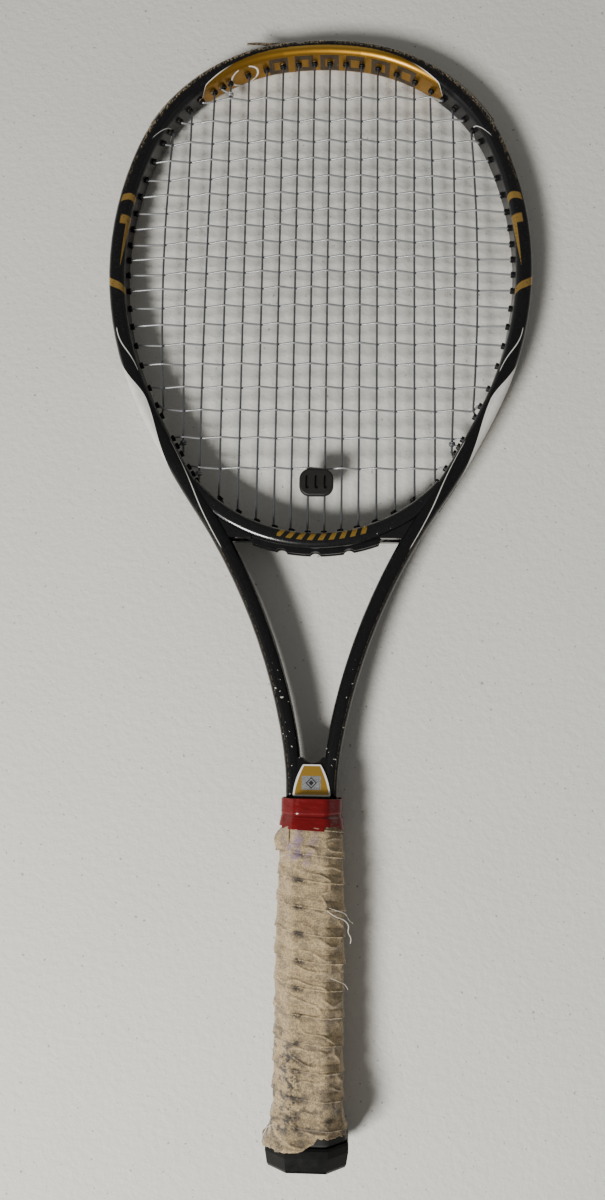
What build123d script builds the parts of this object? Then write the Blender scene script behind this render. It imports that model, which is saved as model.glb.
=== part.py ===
from build123d import *
import os
from math import atan, cos, radians, sin, sqrt, tan

os.makedirs("parts", exist_ok=True)

# A strung tennis racket, in millimetres. The origin is the centre of the butt end face, +Y runs up the
# handle to the head tip, +X is to the right and +Z stands square to the string bed, which lies in Z = 0.

# --- overall and frame tube ---------------------------------------------------------------------------
LENGTH = 685.8  # 27 inches, butt to head tip
BEAM_DEPTH = 21.0  # hoop, square to the string bed
SHAFT_DEPTH = 18.0  # the same, where the shafts reach the handle
HANDLE_TUBE_DEPTH = 15.6  # the same, inside the handle
HOOP_WIDTH = 10.4  # tube, in the plane of the strings, round the head
SHAFT_WIDTH = 9.0  # the same, down at the handle
TUBE_WALL = 1.3
HOOP_CORNER = 4.2  # corner radius of the hoop's section
BORE_CORNER = 2.2
SHAFT_CORNER = 3.4
BUMPER_PROUD = 1.0  # how far the bumper guard stands out of the tube
# the tube's centre line, from the head tip down one side: radius and turn in degrees of each tangent arc
HOOP_ARCS = [(183.8, 8.0), (110.8, 60.0), (210.8, 47.2), (495.8, 8.8)]
THROAT_ARCS = [(368.2, 23.6), (183.6, 10.4)]  # bending back the other way, until the shaft is straight
TUBE_END_Y = 14.0  # where the shafts stop inside the handle
HANDLE_TUBE_TOP = 199.4
TAPER_STEPS = 6
END_PLUG_LENGTH = 14.0

# --- string groove and grommets -----------------------------------------------------------------------
GROOVE_WIDTH = 5.9
GROOVE_DEPTH = 2.85
STRIP_BASE = 1.1  # thickness of the grommet strip in the groove
STRIP_LIP = 0.55  # thickness of its side walls
STRIP_SUNK = 0.35  # how far the walls stop below the tube's outer face
BARREL_RADIUS = 1.7
BORE_RADIUS = 1.15
HOLE_GAP = 0.05
HOLE_REACH = 4.0  # how far the cutters for the holes run past the tube
THROAT_HOLE_REACH = 12.0
BARREL_STUB = 1.1  # how far a barrel shows on the inside of the hoop
MOUTH_REACH = 1.15  # from the end of a barrel to where its string bends away
BUMPER_WIDTH = 12.4
BUMPER_END = 59.5  # the bumper guard's end, in degrees of heading from the tip
SIDE_STRIP_END = 110.7
STRIP_JOINT = 0.4  # gap between two strips, in degrees

# --- throat bridge ------------------------------------------------------------------------------------
BRIDGE_CENTRE_Y = 456.1
BRIDGE_RADIUS = 103.5  # to the middle of its section
BRIDGE_WIDTH = 10.0
BRIDGE_DEPTH = 19.0
BRIDGE_CORNER = 4.0
BRIDGE_HALF_ANGLE = 48.0
GUSSET_Y = 354.0  # the webs that square off the throat opening's two upper corners
GUSSET_X = (39.0, 70.0)
GUSSET_Z = (4.4, 8.6)  # clear of the grommet strip, on both sides of the string bed
THROAT_STRIP_HALF_ANGLE = 30.0
THROAT_STRIP_HALF_WIDTH = 4.2
THROAT_WALL = 1.6
THROAT_WALL_HEIGHT = 3.0
SCALLOP_RADIUS = 2.9  # hollows between the string loops along the throat strip's edge
SCALLOP_STRETCH = 1.2

# --- strings ------------------------------------------------------------------------------------------
STRING_RADIUS = 0.65
WEAVE_GAP = 0.06  # clearance between a main and a cross where they pass
WEAVE_BEND = 6.0
TIGHT_BEND = 1.4  # round a grommet's edge
GENTLE_BEND = 400.0  # where an outer main is drawn sideways
GROOVE_LEVEL = 1.0  # a string's centre line above the strip it lies on
LOOP_LIFT = 1.5  # sideways shift of a loop that passes another string's hole
LIFT_START = 3.2  # from the hole to where the shift is complete
GROOVE_POINTS = 11.0  # spacing of the points that set a string's run along the groove
FIRST_MAIN = 5.15
MAIN_GAPS = [10.4, 10.4, 11.0, 11.4, 11.9, 12.8, 13.5, 13.0]  # main to main, outwards from the centre
MAIN_BOW = [0.0, 0.0, 0.0, 0.0, 0.0, 0.0, 0.9, 1.6, 3.6]  # how far each main is drawn outwards half way up
HEAD_PINCH = [0.1, 0.2, 0.3, 0.6, 0.2, 0.2]  # how far the inner mains lean in at the head
# at the shoulders mains and crosses share the hoop, so their holes are set by heading, in degrees
MAIN_HEAD_HOLES = [35.7, 46.4, 57.0]  # mains 7 to 9
MAIN_LOW_HOLES = [122.2, 119.85, 116.6]  # mains 7 to 9
CROSS_SHOULDER_HOLES = {0: 41.0, 1: 51.8, 2: 62.0, 17: 115.7, 19: 121.0}
TOP_CROSS_Y = 648.7
CROSS_GAPS = [15.6, 14.4, 12.5, 12.3, 11.4, 11.4, 10.8, 10.9, 10.3, 10.3,
              10.9, 12.0, 12.3, 13.1, 13.6, 15.4, 15.0, 17.7, 19.5]
CROSS_BOW = 2.9  # the crosses sag towards the head tip, most of all at CROSS_BOW_Y
CROSS_BOW_Y = 555.0
CROSS_BOW_REACH = 105.0
BRIDGE_EXITS = [5.15, 15.55, 25.95, 36.95, 47.4, 52.2]  # where the mains leave the bridge's handle side
KNOT_TURNS = 2

# --- dampener -----------------------------------------------------------------------------------------
DAMPENER_TOP_Y = 398.2
DAMPENER_SIZE = (21.0, 17.0)
DAMPENER_BACK_SIZE = (16.0, 14.0)
DAMPENER_NECK = 8.4  # fits between the two centre mains
DAMPENER_SLOT = 1.0  # half height of the slot that a string runs in
DAMPENER_FRONT = 4.4
DAMPENER_BACK = 3.4
DAMPENER_CORNERS = (6.5, 5.0, 2.0)  # front plate, back plate, neck
DAMPENER_EDGES = (1.2, 1.0)  # rounding of the front and back plates
DAMPENER_FLUTE = (8.6, 2.2, 1.6)  # length, width and depth of each flute in the front
DAMPENER_FLUTE_X = [-5.6, 0.0, 5.6]

# --- throat and handle --------------------------------------------------------------------------------
WEB_TOP_Y = 219.5
WEB_DEPTH = 17.9
CROTCH_CLEARANCE = 0.6  # how far the crotch's rounding runs into each shaft
BADGE_OUTLINE = [(200.6, 11.0), (211.0, 9.0), (219.0, 5.2)]  # y and half width: foot, waist, top
BADGE_THICKNESS = 0.8
BADGE_CORNER = 1.0
BADGE_EDGE = 0.35
HANDLE_FLATNESS = 0.885  # the handle's depth over its width
HANDLE_CUT = 0.49  # the octagon's corner cut over its half width
FIT = 0.05  # gap between two pieces that are bonded or wrapped
# half width of each layer along the handle: (y, half width)
PALLET = [(9.0, 15.9), (29.0, 15.9), (29.0, 16.8), (120.0, 16.8), (186.0, 15.5), (199.0, 15.4)]
BASE_GRIP = [(13.8, 22.3), (29.0, 18.4), (120.0, 18.4), (186.0, 17.05), (198.4, 16.95)]
OVERGRIP = [(13.4, 23.3), (29.0, 19.35), (120.0, 19.35), (176.0, 18.4), (187.0, 17.75)]
TAPE = [(181.8, 18.45), (187.4, 18.1), (189.5, 17.6), (199.5, 17.45)]
TAPE_THICKNESS = 0.3
CAP = [(0.0, 21.2), (1.4, 22.0), (8.0, 23.1), (11.8, 23.1), (13.2, 22.7)]
CAP_SKIRT = [(13.2, 21.0), (29.0, 16.75)]
CAP_FLOOR = 3.4
DOOR_SEAT = (22.0, 15.0, 1.8)
DOOR_HOLE = (18.0, 11.0)
DOOR_CORNERS = (4.0, 3.0)
DOOR_STEM_WALL = 1.5
DOOR_GAP = 0.3
DOOR_LEG_END = 8.0
TACK_Y = 21.0
TACK_SUNK = 0.7
TACK_HEAD = 0.6
TACK_HEAD_RADIUS = 2.6
TACK_SHANK_RADIUS = 0.5
TACK_LENGTH = 3.6
STAPLE_Y = 22.0
STAPLE_WIRE = 0.9
STAPLE_SPAN = 8.0
STAPLE_LEG = 5.0
STAPLE_SUNK = 0.25

BASE_LEVEL = HOOP_WIDTH / 2 - GROOVE_DEPTH + STRIP_BASE  # top of a strip, out from the centre line
STRING_LEVEL = BASE_LEVEL + GROOVE_LEVEL
MOUTH_LEVEL = -(HOOP_WIDTH / 2 + BARREL_STUB + MOUTH_REACH)  # where a string meets the line of its barrel
BRIDGE_FACE = BRIDGE_RADIUS + BRIDGE_WIDTH / 2
BRIDGE_MOUTH = BRIDGE_RADIUS - BRIDGE_WIDTH / 2 - BARREL_STUB - MOUTH_REACH
THROAT_LEVEL = BRIDGE_FACE + STRIP_BASE + GROOVE_LEVEL
TIP_Y = LENGTH - BUMPER_PROUD - HOOP_WIDTH / 2


# --- the tube's centre line ---------------------------------------------------------------------------
def outward(heading):
    """Unit vector out of the hoop where its centre line has turned by heading degrees from the tip."""
    return Vector(sin(radians(heading)), cos(radians(heading)), 0)


def forward(heading):
    return Vector(cos(radians(heading)), -sin(radians(heading)), 0)


def walk():
    """(centre, radius, heading where it starts, heading where it ends) of each arc down the right side."""
    at, heading, bends = Vector(0, TIP_Y, 0), 0.0, []
    for radius, turn in HOOP_ARCS + [(-radius, -turn) for radius, turn in THROAT_ARCS]:
        centre = at - outward(heading) * radius
        bends.append((centre, radius, heading, heading + turn))
        heading += turn
        at = centre + outward(heading) * radius
    return bends


BENDS = walk()
HOOP_BENDS = BENDS[:len(HOOP_ARCS)]
THROAT_BENDS = BENDS[len(HOOP_ARCS):]
HOOP_END = HOOP_BENDS[-1][3]
SHAFT_TOP = THROAT_BENDS[-1][0] + outward(90) * THROAT_BENDS[-1][1]


def bend_at(heading):
    return next(b for b in HOOP_BENDS if abs(heading) <= b[3] + 1e-9)


def on_hoop(heading, out=0.0, z=0.0):
    """A point on the hoop, out from its centre line. A negative heading is on the left side."""
    centre, radius = bend_at(heading)[:2]
    side = -1 if heading < 0 else 1
    return Vector(side * centre.X, centre.Y, z) + outward(heading) * (radius + out)


def section_plane(point, heading):
    """Local x points out of the hoop and local y along +Z."""
    return Plane(origin=point, x_dir=outward(heading), z_dir=forward(heading))


def hoop_path(start, end):
    """The centre line between two headings, as tangent arcs."""
    turns = sorted({s * b[3] for b in HOOP_BENDS for s in (-1, 1)})
    stops = [start] + [t for t in turns if start < t < end] + [end]
    arcs = [ThreePointArc(on_hoop(a), on_hoop((a + b) / 2), on_hoop(b)) for a, b in zip(stops, stops[1:])]
    return Wire([arc.edge() for arc in arcs])


def along_hoop(section, start, end):
    """A section drawn in the hoop's section plane, swept between two headings."""
    return sweep(section_plane(on_hoop(start), start) * section, path=hoop_path(start, end))


def solve(wanted, value, low, high):
    """The heading between low and high where value(heading) passes wanted."""
    rising = value(high) > value(low)
    for _ in range(50):
        middle = (low + high) / 2
        if (value(middle) < wanted) == rising:
            low = middle
        else:
            high = middle
    return (low + high) / 2


# --- where the strings run ----------------------------------------------------------------------------
MAIN_X = [FIRST_MAIN + sum(MAIN_GAPS[:k]) for k in range(len(MAIN_GAPS) + 1)]
CROSS_Y = [TOP_CROSS_Y - sum(CROSS_GAPS[:k]) for k in range(len(CROSS_GAPS) + 1)]
ON_BRIDGE = len(BRIDGE_EXITS)


def bow(y):
    return CROSS_BOW * max(0.0, 1 - ((y - CROSS_BOW_Y) / CROSS_BOW_REACH) ** 2)


def mouth(heading):
    return on_hoop(heading, MOUTH_LEVEL)


TOP_HOLES = [solve(x - pinch, lambda h: mouth(h).X, 0, 88) for x, pinch in zip(MAIN_X, HEAD_PINCH)]
TOP_HOLES += MAIN_HEAD_HOLES
LOW_HOLES = MAIN_LOW_HOLES
CROSS_HOLES = [solve(y - bow(y), lambda h: mouth(h).Y, 0, HOOP_END) for y in CROSS_Y]
CROSS_HOLES = [CROSS_SHOULDER_HOLES.get(row, heading) for row, heading in enumerate(CROSS_HOLES)]
MAIN_TIE = (CROSS_HOLES[18] + LOW_HOLES[1]) / 2  # both ends of the main string are tied off here
CROSS_START_TIE = (TOP_HOLES[5] + TOP_HOLES[6]) / 2
CROSS_END_TIE = (CROSS_HOLES[19] + LOW_HOLES[0]) / 2
ONE_SIDE = TOP_HOLES + LOW_HOLES + CROSS_HOLES + [MAIN_TIE]
HOLES = ONE_SIDE + [-h for h in ONE_SIDE] + [-CROSS_START_TIE, -CROSS_END_TIE]


def low_end(k):
    """Where main k, counted out from the centre, meets the bridge or its lower hole in the hoop."""
    if k >= ON_BRIDGE:
        return mouth(LOW_HOLES[k - ON_BRIDGE])
    return Vector(MAIN_X[k], BRIDGE_CENTRE_Y - sqrt(BRIDGE_MOUTH ** 2 - MAIN_X[k] ** 2), 0)


def bridge_exit(k, level):
    x = BRIDGE_EXITS[k]
    return Vector(x, BRIDGE_CENTRE_Y - sqrt(level ** 2 - x ** 2), 0)


def main_x_at(k, y):
    """Distance of main k from the middle of the string bed at height y."""
    top, low = mouth(TOP_HOLES[k]), low_end(k)
    share = (y - low.Y) / (top.Y - low.Y)
    return low.X + (top.X - low.X) * share + 4 * MAIN_BOW[k] * share * (1 - share)


def bow_points(k):
    """Points that draw an outer main sideways between its mouths, from the bottom up."""
    if not MAIN_BOW[k]:
        return []
    top, low = mouth(TOP_HOLES[k]).Y, low_end(k).Y
    heights = [low + (top - low) * share for share in (0.12, 0.31, 0.5, 0.69, 0.88)]
    return [Vector(main_x_at(k, y), y, 0) for y in heights]


# --- frame tube and bridge ----------------------------------------------------------------------------
def tube_section(width, depth, corner, inset=0.0):
    return RectangleRounded(width - 2 * inset, depth - 2 * inset, corner - inset)


def part_way(start, end, share):
    return start + (end - start) * share


def throat_and_shaft(inset, end_y):
    """The right-hand throat arm, which narrows on its way down, and the straight shaft below it."""
    stations = []
    for step in range(TAPER_STEPS + 1):
        share = step / TAPER_STEPS
        heading = part_way(HOOP_END, 90, share)
        bend = next(b for b in THROAT_BENDS if b[3] - 1e-9 <= heading)
        point = bend[0] + outward(heading) * bend[1]
        width = part_way(HOOP_WIDTH, SHAFT_WIDTH, share)
        depth = part_way(BEAM_DEPTH, SHAFT_DEPTH, share)
        corner = part_way(HOOP_CORNER, SHAFT_CORNER, share)
        stations.append(section_plane(point, heading) * tube_section(width, depth, corner, inset))
    slim = tube_section(SHAFT_WIDTH, HANDLE_TUBE_DEPTH, SHAFT_CORNER, inset)
    slim = section_plane(Vector(SHAFT_TOP.X, HANDLE_TUBE_TOP, 0), 90) * slim
    neck = loft([stations[-1], slim])
    return loft(stations) + neck + extrude(slim, HANDLE_TUBE_TOP - end_y, dir=(0, -1, 0))


def hairpin(inset, end_y):
    """The whole tube's outer shape, or the same drawn in by inset."""
    arm = throat_and_shaft(inset, end_y)
    hoop = along_hoop(tube_section(HOOP_WIDTH, BEAM_DEPTH, HOOP_CORNER, inset), -HOOP_END, HOOP_END)
    return hoop + arm + mirror(arm, about=Plane.YZ)


def radial_pin(heading, radius, low, high):
    """A cylinder on the axis of a string hole, from low to high out from the centre line."""
    base = Plane(origin=on_hoop(heading, low), z_dir=outward(heading))
    return base * Cylinder(radius, high - low, align=(Align.CENTER, Align.CENTER, Align.MIN))


def bridge_pin(k, side, radius, low, high):
    """The same through the bridge, from low to high measured as radii from the bridge's centre."""
    inner, direction = bridge_axis(k, side)
    start = inner + direction * (low - BRIDGE_MOUTH)
    base = Plane(origin=start, z_dir=direction)
    return base * Cylinder(radius, high - low, align=(Align.CENTER, Align.CENTER, Align.MIN))


def bridge_axis(k, side):
    """(mouth, unit direction towards the handle) of a hole through the bridge."""
    a, b = low_end(k), bridge_exit(k, THROAT_LEVEL)
    return Vector(side * a.X, a.Y, 0), Vector(side * (b.X - a.X), b.Y - a.Y, 0).normalized()


def hoop_holes(radius):
    reach = HOOP_WIDTH / 2 + HOLE_REACH
    return [radial_pin(h, radius, -reach, reach) for h in HOLES]


def bridge_holes(radius):
    near = BRIDGE_RADIUS - BRIDGE_WIDTH / 2 - HOLE_REACH
    far = THROAT_LEVEL + THROAT_HOLE_REACH
    return [bridge_pin(k, s, radius, near, far) for k in range(ON_BRIDGE) for s in (-1, 1)]


def frame_tube():
    outer = hairpin(0.0, TUBE_END_Y)
    # the hoop's bore is set in from the groove, and the shafts' bore is open at the handle end
    bore_width = HOOP_WIDTH - GROOVE_DEPTH - 2 * TUBE_WALL
    bore_shift = -GROOVE_DEPTH / 2
    bore = Pos(bore_shift, 0) * RectangleRounded(bore_width, BEAM_DEPTH - 2 * TUBE_WALL, BORE_CORNER)
    groove = Pos(HOOP_WIDTH / 2, 0) * Rectangle(2 * GROOVE_DEPTH, GROOVE_WIDTH)
    arm = throat_and_shaft(TUBE_WALL, TUBE_END_Y - 1)
    tube = outer - along_hoop(bore, -HOOP_END, HOOP_END) - arm - mirror(arm, about=Plane.YZ)
    tube = tube - along_hoop(groove, -HOOP_END, HOOP_END)
    return tube - hoop_holes(BARREL_RADIUS + HOLE_GAP)


def bridge_path(half_angle, radius):
    ends = [-half_angle, 0, half_angle]
    points = [Vector(radius * sin(radians(a)), BRIDGE_CENTRE_Y - radius * cos(radians(a)), 0) for a in ends]
    return ThreePointArc(*points)


def along_bridge(section, half_angle):
    """A section with local x away from the head, swept along the bridge's arc."""
    path = bridge_path(half_angle, BRIDGE_RADIUS)
    a = radians(half_angle)
    plane = Plane(origin=path @ 0, x_dir=(-sin(a), -cos(a), 0), z_dir=path % 0)
    return sweep(plane * section, path=Wire([path.edge()]))


def gussets():
    """Webs between the bridge's handle side and the arms, reaching into the bridge's wall."""
    (x0, x1), (z0, z1) = GUSSET_X, GUSSET_Z
    low = (Align.MIN, Align.MIN, Align.MIN)
    height = BRIDGE_CENTRE_Y - BRIDGE_RADIUS / 2 - GUSSET_Y
    web = Pos(x0, GUSSET_Y, z0) * Box(x1 - x0, height, z1 - z0, align=low)
    disc = Cylinder(BRIDGE_FACE - TUBE_WALL / 2, 4 * z1)
    web = web - Pos(0, BRIDGE_CENTRE_Y, 0) * disc
    pair = [web, mirror(web, about=Plane.YZ)]
    return pair + [mirror(item, about=Plane.XY) for item in pair]


def throat_bridge(solid_hairpin):
    outer = along_bridge(RectangleRounded(BRIDGE_WIDTH, BRIDGE_DEPTH, BRIDGE_CORNER), BRIDGE_HALF_ANGLE)
    hollow = (BRIDGE_WIDTH - 2 * TUBE_WALL, BRIDGE_DEPTH - 2 * TUBE_WALL)
    bore = RectangleRounded(*hollow, BRIDGE_CORNER - TUBE_WALL)
    wide = BARREL_RADIUS + 6 * HOLE_GAP
    near = [radial_pin(h, wide, -BRIDGE_WIDTH - HOLE_REACH, 0) for h in HOLES if abs(h) > SIDE_STRIP_END]
    bridge = outer - along_bridge(bore, BRIDGE_HALF_ANGLE) + gussets() - solid_hairpin
    bridge = bridge - bridge_holes(BARREL_RADIUS + HOLE_GAP) - near
    return max(bridge.solids(), key=lambda s: s.volume)


# --- grommet strips -----------------------------------------------------------------------------------
def strip_section(flange):
    """Local x is out of the hoop: a base on the groove's floor and a lip along each side of the groove."""
    floor = HOOP_WIDTH / 2 - GROOVE_DEPTH
    half = GROOVE_WIDTH / 2 - FIT
    top = HOOP_WIDTH / 2 + (BUMPER_PROUD if flange else -STRIP_SUNK)
    section = Pos(floor + STRIP_BASE / 2, 0) * Rectangle(STRIP_BASE, 2 * half)
    for side in (-1, 1):
        section += Pos((floor + top) / 2, side * (half - STRIP_LIP / 2)) * Rectangle(top - floor, STRIP_LIP)
        if flange:
            low = HOOP_WIDTH / 2 + FIT / 2
            middle = (half - STRIP_LIP + BUMPER_WIDTH / 2) / 2
            breadth = BUMPER_WIDTH / 2 - half + STRIP_LIP
            section += Pos((low + top) / 2, side * middle) * Rectangle(top - low, breadth)
    return section


def grommet_strip(start, end, flange=False):
    """A moulded strip with a barrel for every string hole between two headings."""
    strip = along_hoop(strip_section(flange), start, end)
    inner = -(HOOP_WIDTH / 2 + BARREL_STUB)
    outer = HOOP_WIDTH / 2 - GROOVE_DEPTH + STRIP_BASE / 2
    headings = [h for h in HOLES if start < h < end]
    strip = strip + [radial_pin(h, BARREL_RADIUS, inner, outer) for h in headings]
    return strip - [radial_pin(h, BORE_RADIUS, inner - 1, HOOP_WIDTH) for h in headings]


def throat_strip(solid_hairpin):
    """The channel on the handle side of the bridge. Its walls stand high only beside the string loops."""
    x = BRIDGE_WIDTH / 2
    half = THROAT_STRIP_HALF_WIDTH
    section = Pos(x + STRIP_BASE / 2 + FIT, 0) * Rectangle(STRIP_BASE, 2 * half)
    wall_middle = x + FIT + THROAT_WALL_HEIGHT / 2
    for side in (-1, 1):
        wall = Rectangle(THROAT_WALL_HEIGHT, THROAT_WALL)
        section += Pos(wall_middle, side * (half - THROAT_WALL / 2)) * wall
    strip = along_bridge(section, THROAT_STRIP_HALF_ANGLE)
    # hollows between the loops, which give the edge its scallops
    middles = [0.0] + [s * (BRIDGE_EXITS[k] + BRIDGE_EXITS[k + 1]) / 2 for k in (1, 3) for s in (-1, 1)]
    for x_middle in middles:
        reach = BRIDGE_FACE + THROAT_WALL_HEIGHT + SCALLOP_RADIUS * (SCALLOP_STRETCH - 1) * 2
        y = BRIDGE_CENTRE_Y - sqrt(reach ** 2 - x_middle ** 2)
        strip -= Pos(x_middle, y, 0) * scale(Cylinder(SCALLOP_RADIUS, 3 * half), by=(SCALLOP_STRETCH, 1, 1))
    stub = BRIDGE_RADIUS - BRIDGE_WIDTH / 2 - BARREL_STUB
    disc = Pos(0, BRIDGE_CENTRE_Y, 0) * Cylinder(BRIDGE_FACE + FIT + STRIP_BASE, 3 * half)
    far = THROAT_LEVEL + THROAT_HOLE_REACH
    pins = [bridge_pin(k, s, BARREL_RADIUS, stub, far) for k in range(ON_BRIDGE) for s in (-1, 1)]
    strip = strip + [pin & disc for pin in pins]
    strip = strip - bridge_holes(BORE_RADIUS) - solid_hairpin
    return max(strip.solids(), key=lambda s: s.volume)


# --- strings ------------------------------------------------------------------------------------------
def string_through(points, bends):
    """One length of string along points, each corner rounded to at most the bend given for it."""
    radii = []
    for k in range(1, len(points) - 1):
        before, after = points[k] - points[k - 1], points[k + 1] - points[k]
        half_turn = radians(before.get_angle(after)) / 2
        radii.append(min(bends[k], 0.45 * min(before.length, after.length) / tan(half_turn)))
    print("string: smallest bend radius", round(min(radii), 2), "mm")
    path = FilletPolyline(*points, radius=radii)
    print("string: length", round(path.length), "mm")
    plane = Plane(origin=path @ 0, z_dir=path % 0)
    return sweep(plane * Circle(STRING_RADIUS), path=path)


def groove_run(start, end, lift):
    """Points along the groove between two holes, shifted by lift where other holes are passed."""
    radius = bend_at((start + end) / 2)[1] + STRING_LEVEL
    length = radians(abs(end - start)) * radius
    inset = LIFT_START / length if lift else 0.0
    pieces = max(1, round(length * (1 - 2 * inset) / GROOVE_POINTS))
    shares = [inset + (1 - 2 * inset) * k / pieces for k in range(pieces + 1)]
    if not lift:
        shares = shares[1:-1]
    return [on_hoop(start + (end - start) * share, STRING_LEVEL, lift) for share in shares]


def flip(points):
    return [Vector(-p.X, p.Y, p.Z) for p in points]


def knot(at, along):
    """Turns of string tied round an anchor string at a point, stacked along it."""
    ring = Torus(2 * STRING_RADIUS + WEAVE_GAP, STRING_RADIUS)
    step = 2 * STRING_RADIUS * 0.96
    rings = [Plane(origin=at + along * step * k, z_dir=along) * ring for k in range(KNOT_TURNS)]
    return rings[0] + rings[1:]


def knot_entry(at, towards):
    """Where the tail runs into the knot, on the side that it comes from."""
    across = (towards - at).normalized()
    return at + across * (2 * STRING_RADIUS + WEAVE_GAP)


def main_half():
    """The right half of the main string, from its knot to the middle of the first loop."""
    anchor = main_anchor(1)
    points = [knot_entry(anchor, mouth(MAIN_TIE)), mouth(MAIN_TIE), on_hoop(MAIN_TIE, STRING_LEVEL)]
    points += groove_run(MAIN_TIE, LOW_HOLES[2], LOOP_LIFT)
    points += [on_hoop(LOW_HOLES[2], STRING_LEVEL), mouth(LOW_HOLES[2])]
    for k in range(len(MAIN_X) - 1, 0, -2):
        # up main k, over to the next one in, and down that
        lift = LOOP_LIFT if k in (6, 8) else 0.0
        points += [*bow_points(k), mouth(TOP_HOLES[k]), on_hoop(TOP_HOLES[k], STRING_LEVEL)]
        points += groove_run(TOP_HOLES[k], TOP_HOLES[k - 1], lift)
        points += [on_hoop(TOP_HOLES[k - 1], STRING_LEVEL), mouth(TOP_HOLES[k - 1])]
        points += bow_points(k - 1)[::-1]
        points += low_loop(k - 1)
    points += [mouth(TOP_HOLES[0]), on_hoop(TOP_HOLES[0], STRING_LEVEL)]
    return points


def main_anchor(side):
    """The point on main 8 that an end of the main string is tied to."""
    y = mouth(MAIN_TIE).Y + 2.0
    return Vector(side * main_x_at(7, y), y, 0)


def low_loop(k):
    """From main k, round the throat, to the main next to it towards the centre."""
    if k > ON_BRIDGE:
        outer, inner = LOW_HOLES[k - ON_BRIDGE], LOW_HOLES[k - 1 - ON_BRIDGE]
        run = groove_run(outer, inner, LOOP_LIFT)
        return [mouth(outer), on_hoop(outer, STRING_LEVEL), *run, on_hoop(inner, STRING_LEVEL), mouth(inner)]
    points = []
    for j in (k, k - 1):
        leg = [low_end(j), bridge_exit(j, THROAT_LEVEL)] if BRIDGE_EXITS[j] != MAIN_X[j] else []
        leg = leg or [bridge_exit(j, THROAT_LEVEL)]
        points += leg if j == k else leg[::-1]
    return points


def main_string():
    right = main_half()
    points = right + flip(right)[::-1]
    bends = [GENTLE_BEND if abs(p.X) > 60 and 420 < p.Y < 620 and p.Z == 0 else TIGHT_BEND for p in points]
    string = string_through(points, bends)
    return string + [knot(main_anchor(side), Vector(0, -1, 0)) for side in (-1, 1)]


def cross_points(row):
    """Cross row from its left mouth to its right one, over and under the mains."""
    left, right = mouth(-CROSS_HOLES[row]), mouth(CROSS_HOLES[row])
    y_middle = CROSS_Y[row]
    count = len(MAIN_X)
    order = [(-1, k) for k in range(count - 1, -1, -1)] + [(1, k) for k in range(count)]
    points, bends = [left], [TIGHT_BEND]
    for place, (side, k) in enumerate(order):
        x = side * main_x_at(k, y_middle)
        y = y_middle - bow(y_middle) * (x / right.X) ** 2
        if abs(x) < right.X - 1.0:
            up = 1 if (place + row) % 2 else -1
            points.append(Vector(x, y, up * weave_height()))
            bends.append(WEAVE_BEND)
    return points + [right], bends + [TIGHT_BEND]


def weave_height():
    """Height of the corner whose rounding just clears a main."""
    clear = 2 * STRING_RADIUS + WEAVE_GAP
    height = clear
    for _ in range(12):
        half_turn = atan(2 * height / min(MAIN_GAPS))
        height = clear + WEAVE_BEND * (1 / cos(half_turn) - 1)
    return height


def cross_anchors():
    """The points on the left-hand mains 6 and 7 that the cross string's two ends are tied to."""
    top, low = mouth(-CROSS_START_TIE).Y - 3.0, mouth(-CROSS_END_TIE).Y + 0.4
    return Vector(-main_x_at(5, top), top, 0), Vector(-main_x_at(6, low), low, 0)


def cross_string():
    first, last = cross_anchors()
    start_mouth, end_mouth = mouth(-CROSS_START_TIE), mouth(-CROSS_END_TIE)
    points = [knot_entry(first, start_mouth), start_mouth, on_hoop(-CROSS_START_TIE, STRING_LEVEL)]
    points += groove_run(-CROSS_START_TIE, -CROSS_HOLES[0], -LOOP_LIFT)
    bends = [TIGHT_BEND] * len(points)
    side = -1
    for row in range(len(CROSS_Y)):
        woven, woven_bends = cross_points(row)
        if side > 0:
            woven, woven_bends = woven[::-1], woven_bends[::-1]
        points += [on_hoop(side * CROSS_HOLES[row], STRING_LEVEL), *woven]
        bends += [TIGHT_BEND, *woven_bends]
        side = -side
        after = CROSS_HOLES[row + 1] if row + 1 < len(CROSS_Y) else CROSS_END_TIE
        low, high = sorted((CROSS_HOLES[row], after))
        passes = any(low < h < high for h in TOP_HOLES + LOW_HOLES + [MAIN_TIE])
        run = groove_run(side * CROSS_HOLES[row], side * after, -LOOP_LIFT if passes else 0.0)
        points += [on_hoop(side * CROSS_HOLES[row], STRING_LEVEL), *run]
        bends += [TIGHT_BEND] * (1 + len(run))
    points += [on_hoop(-CROSS_END_TIE, STRING_LEVEL), end_mouth, knot_entry(last, end_mouth)]
    bends += [TIGHT_BEND] * 3
    string = string_through(points, bends)
    return string + [knot(first, Vector(0, -1, 0)), knot(last, Vector(0, -1, 0))]


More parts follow.
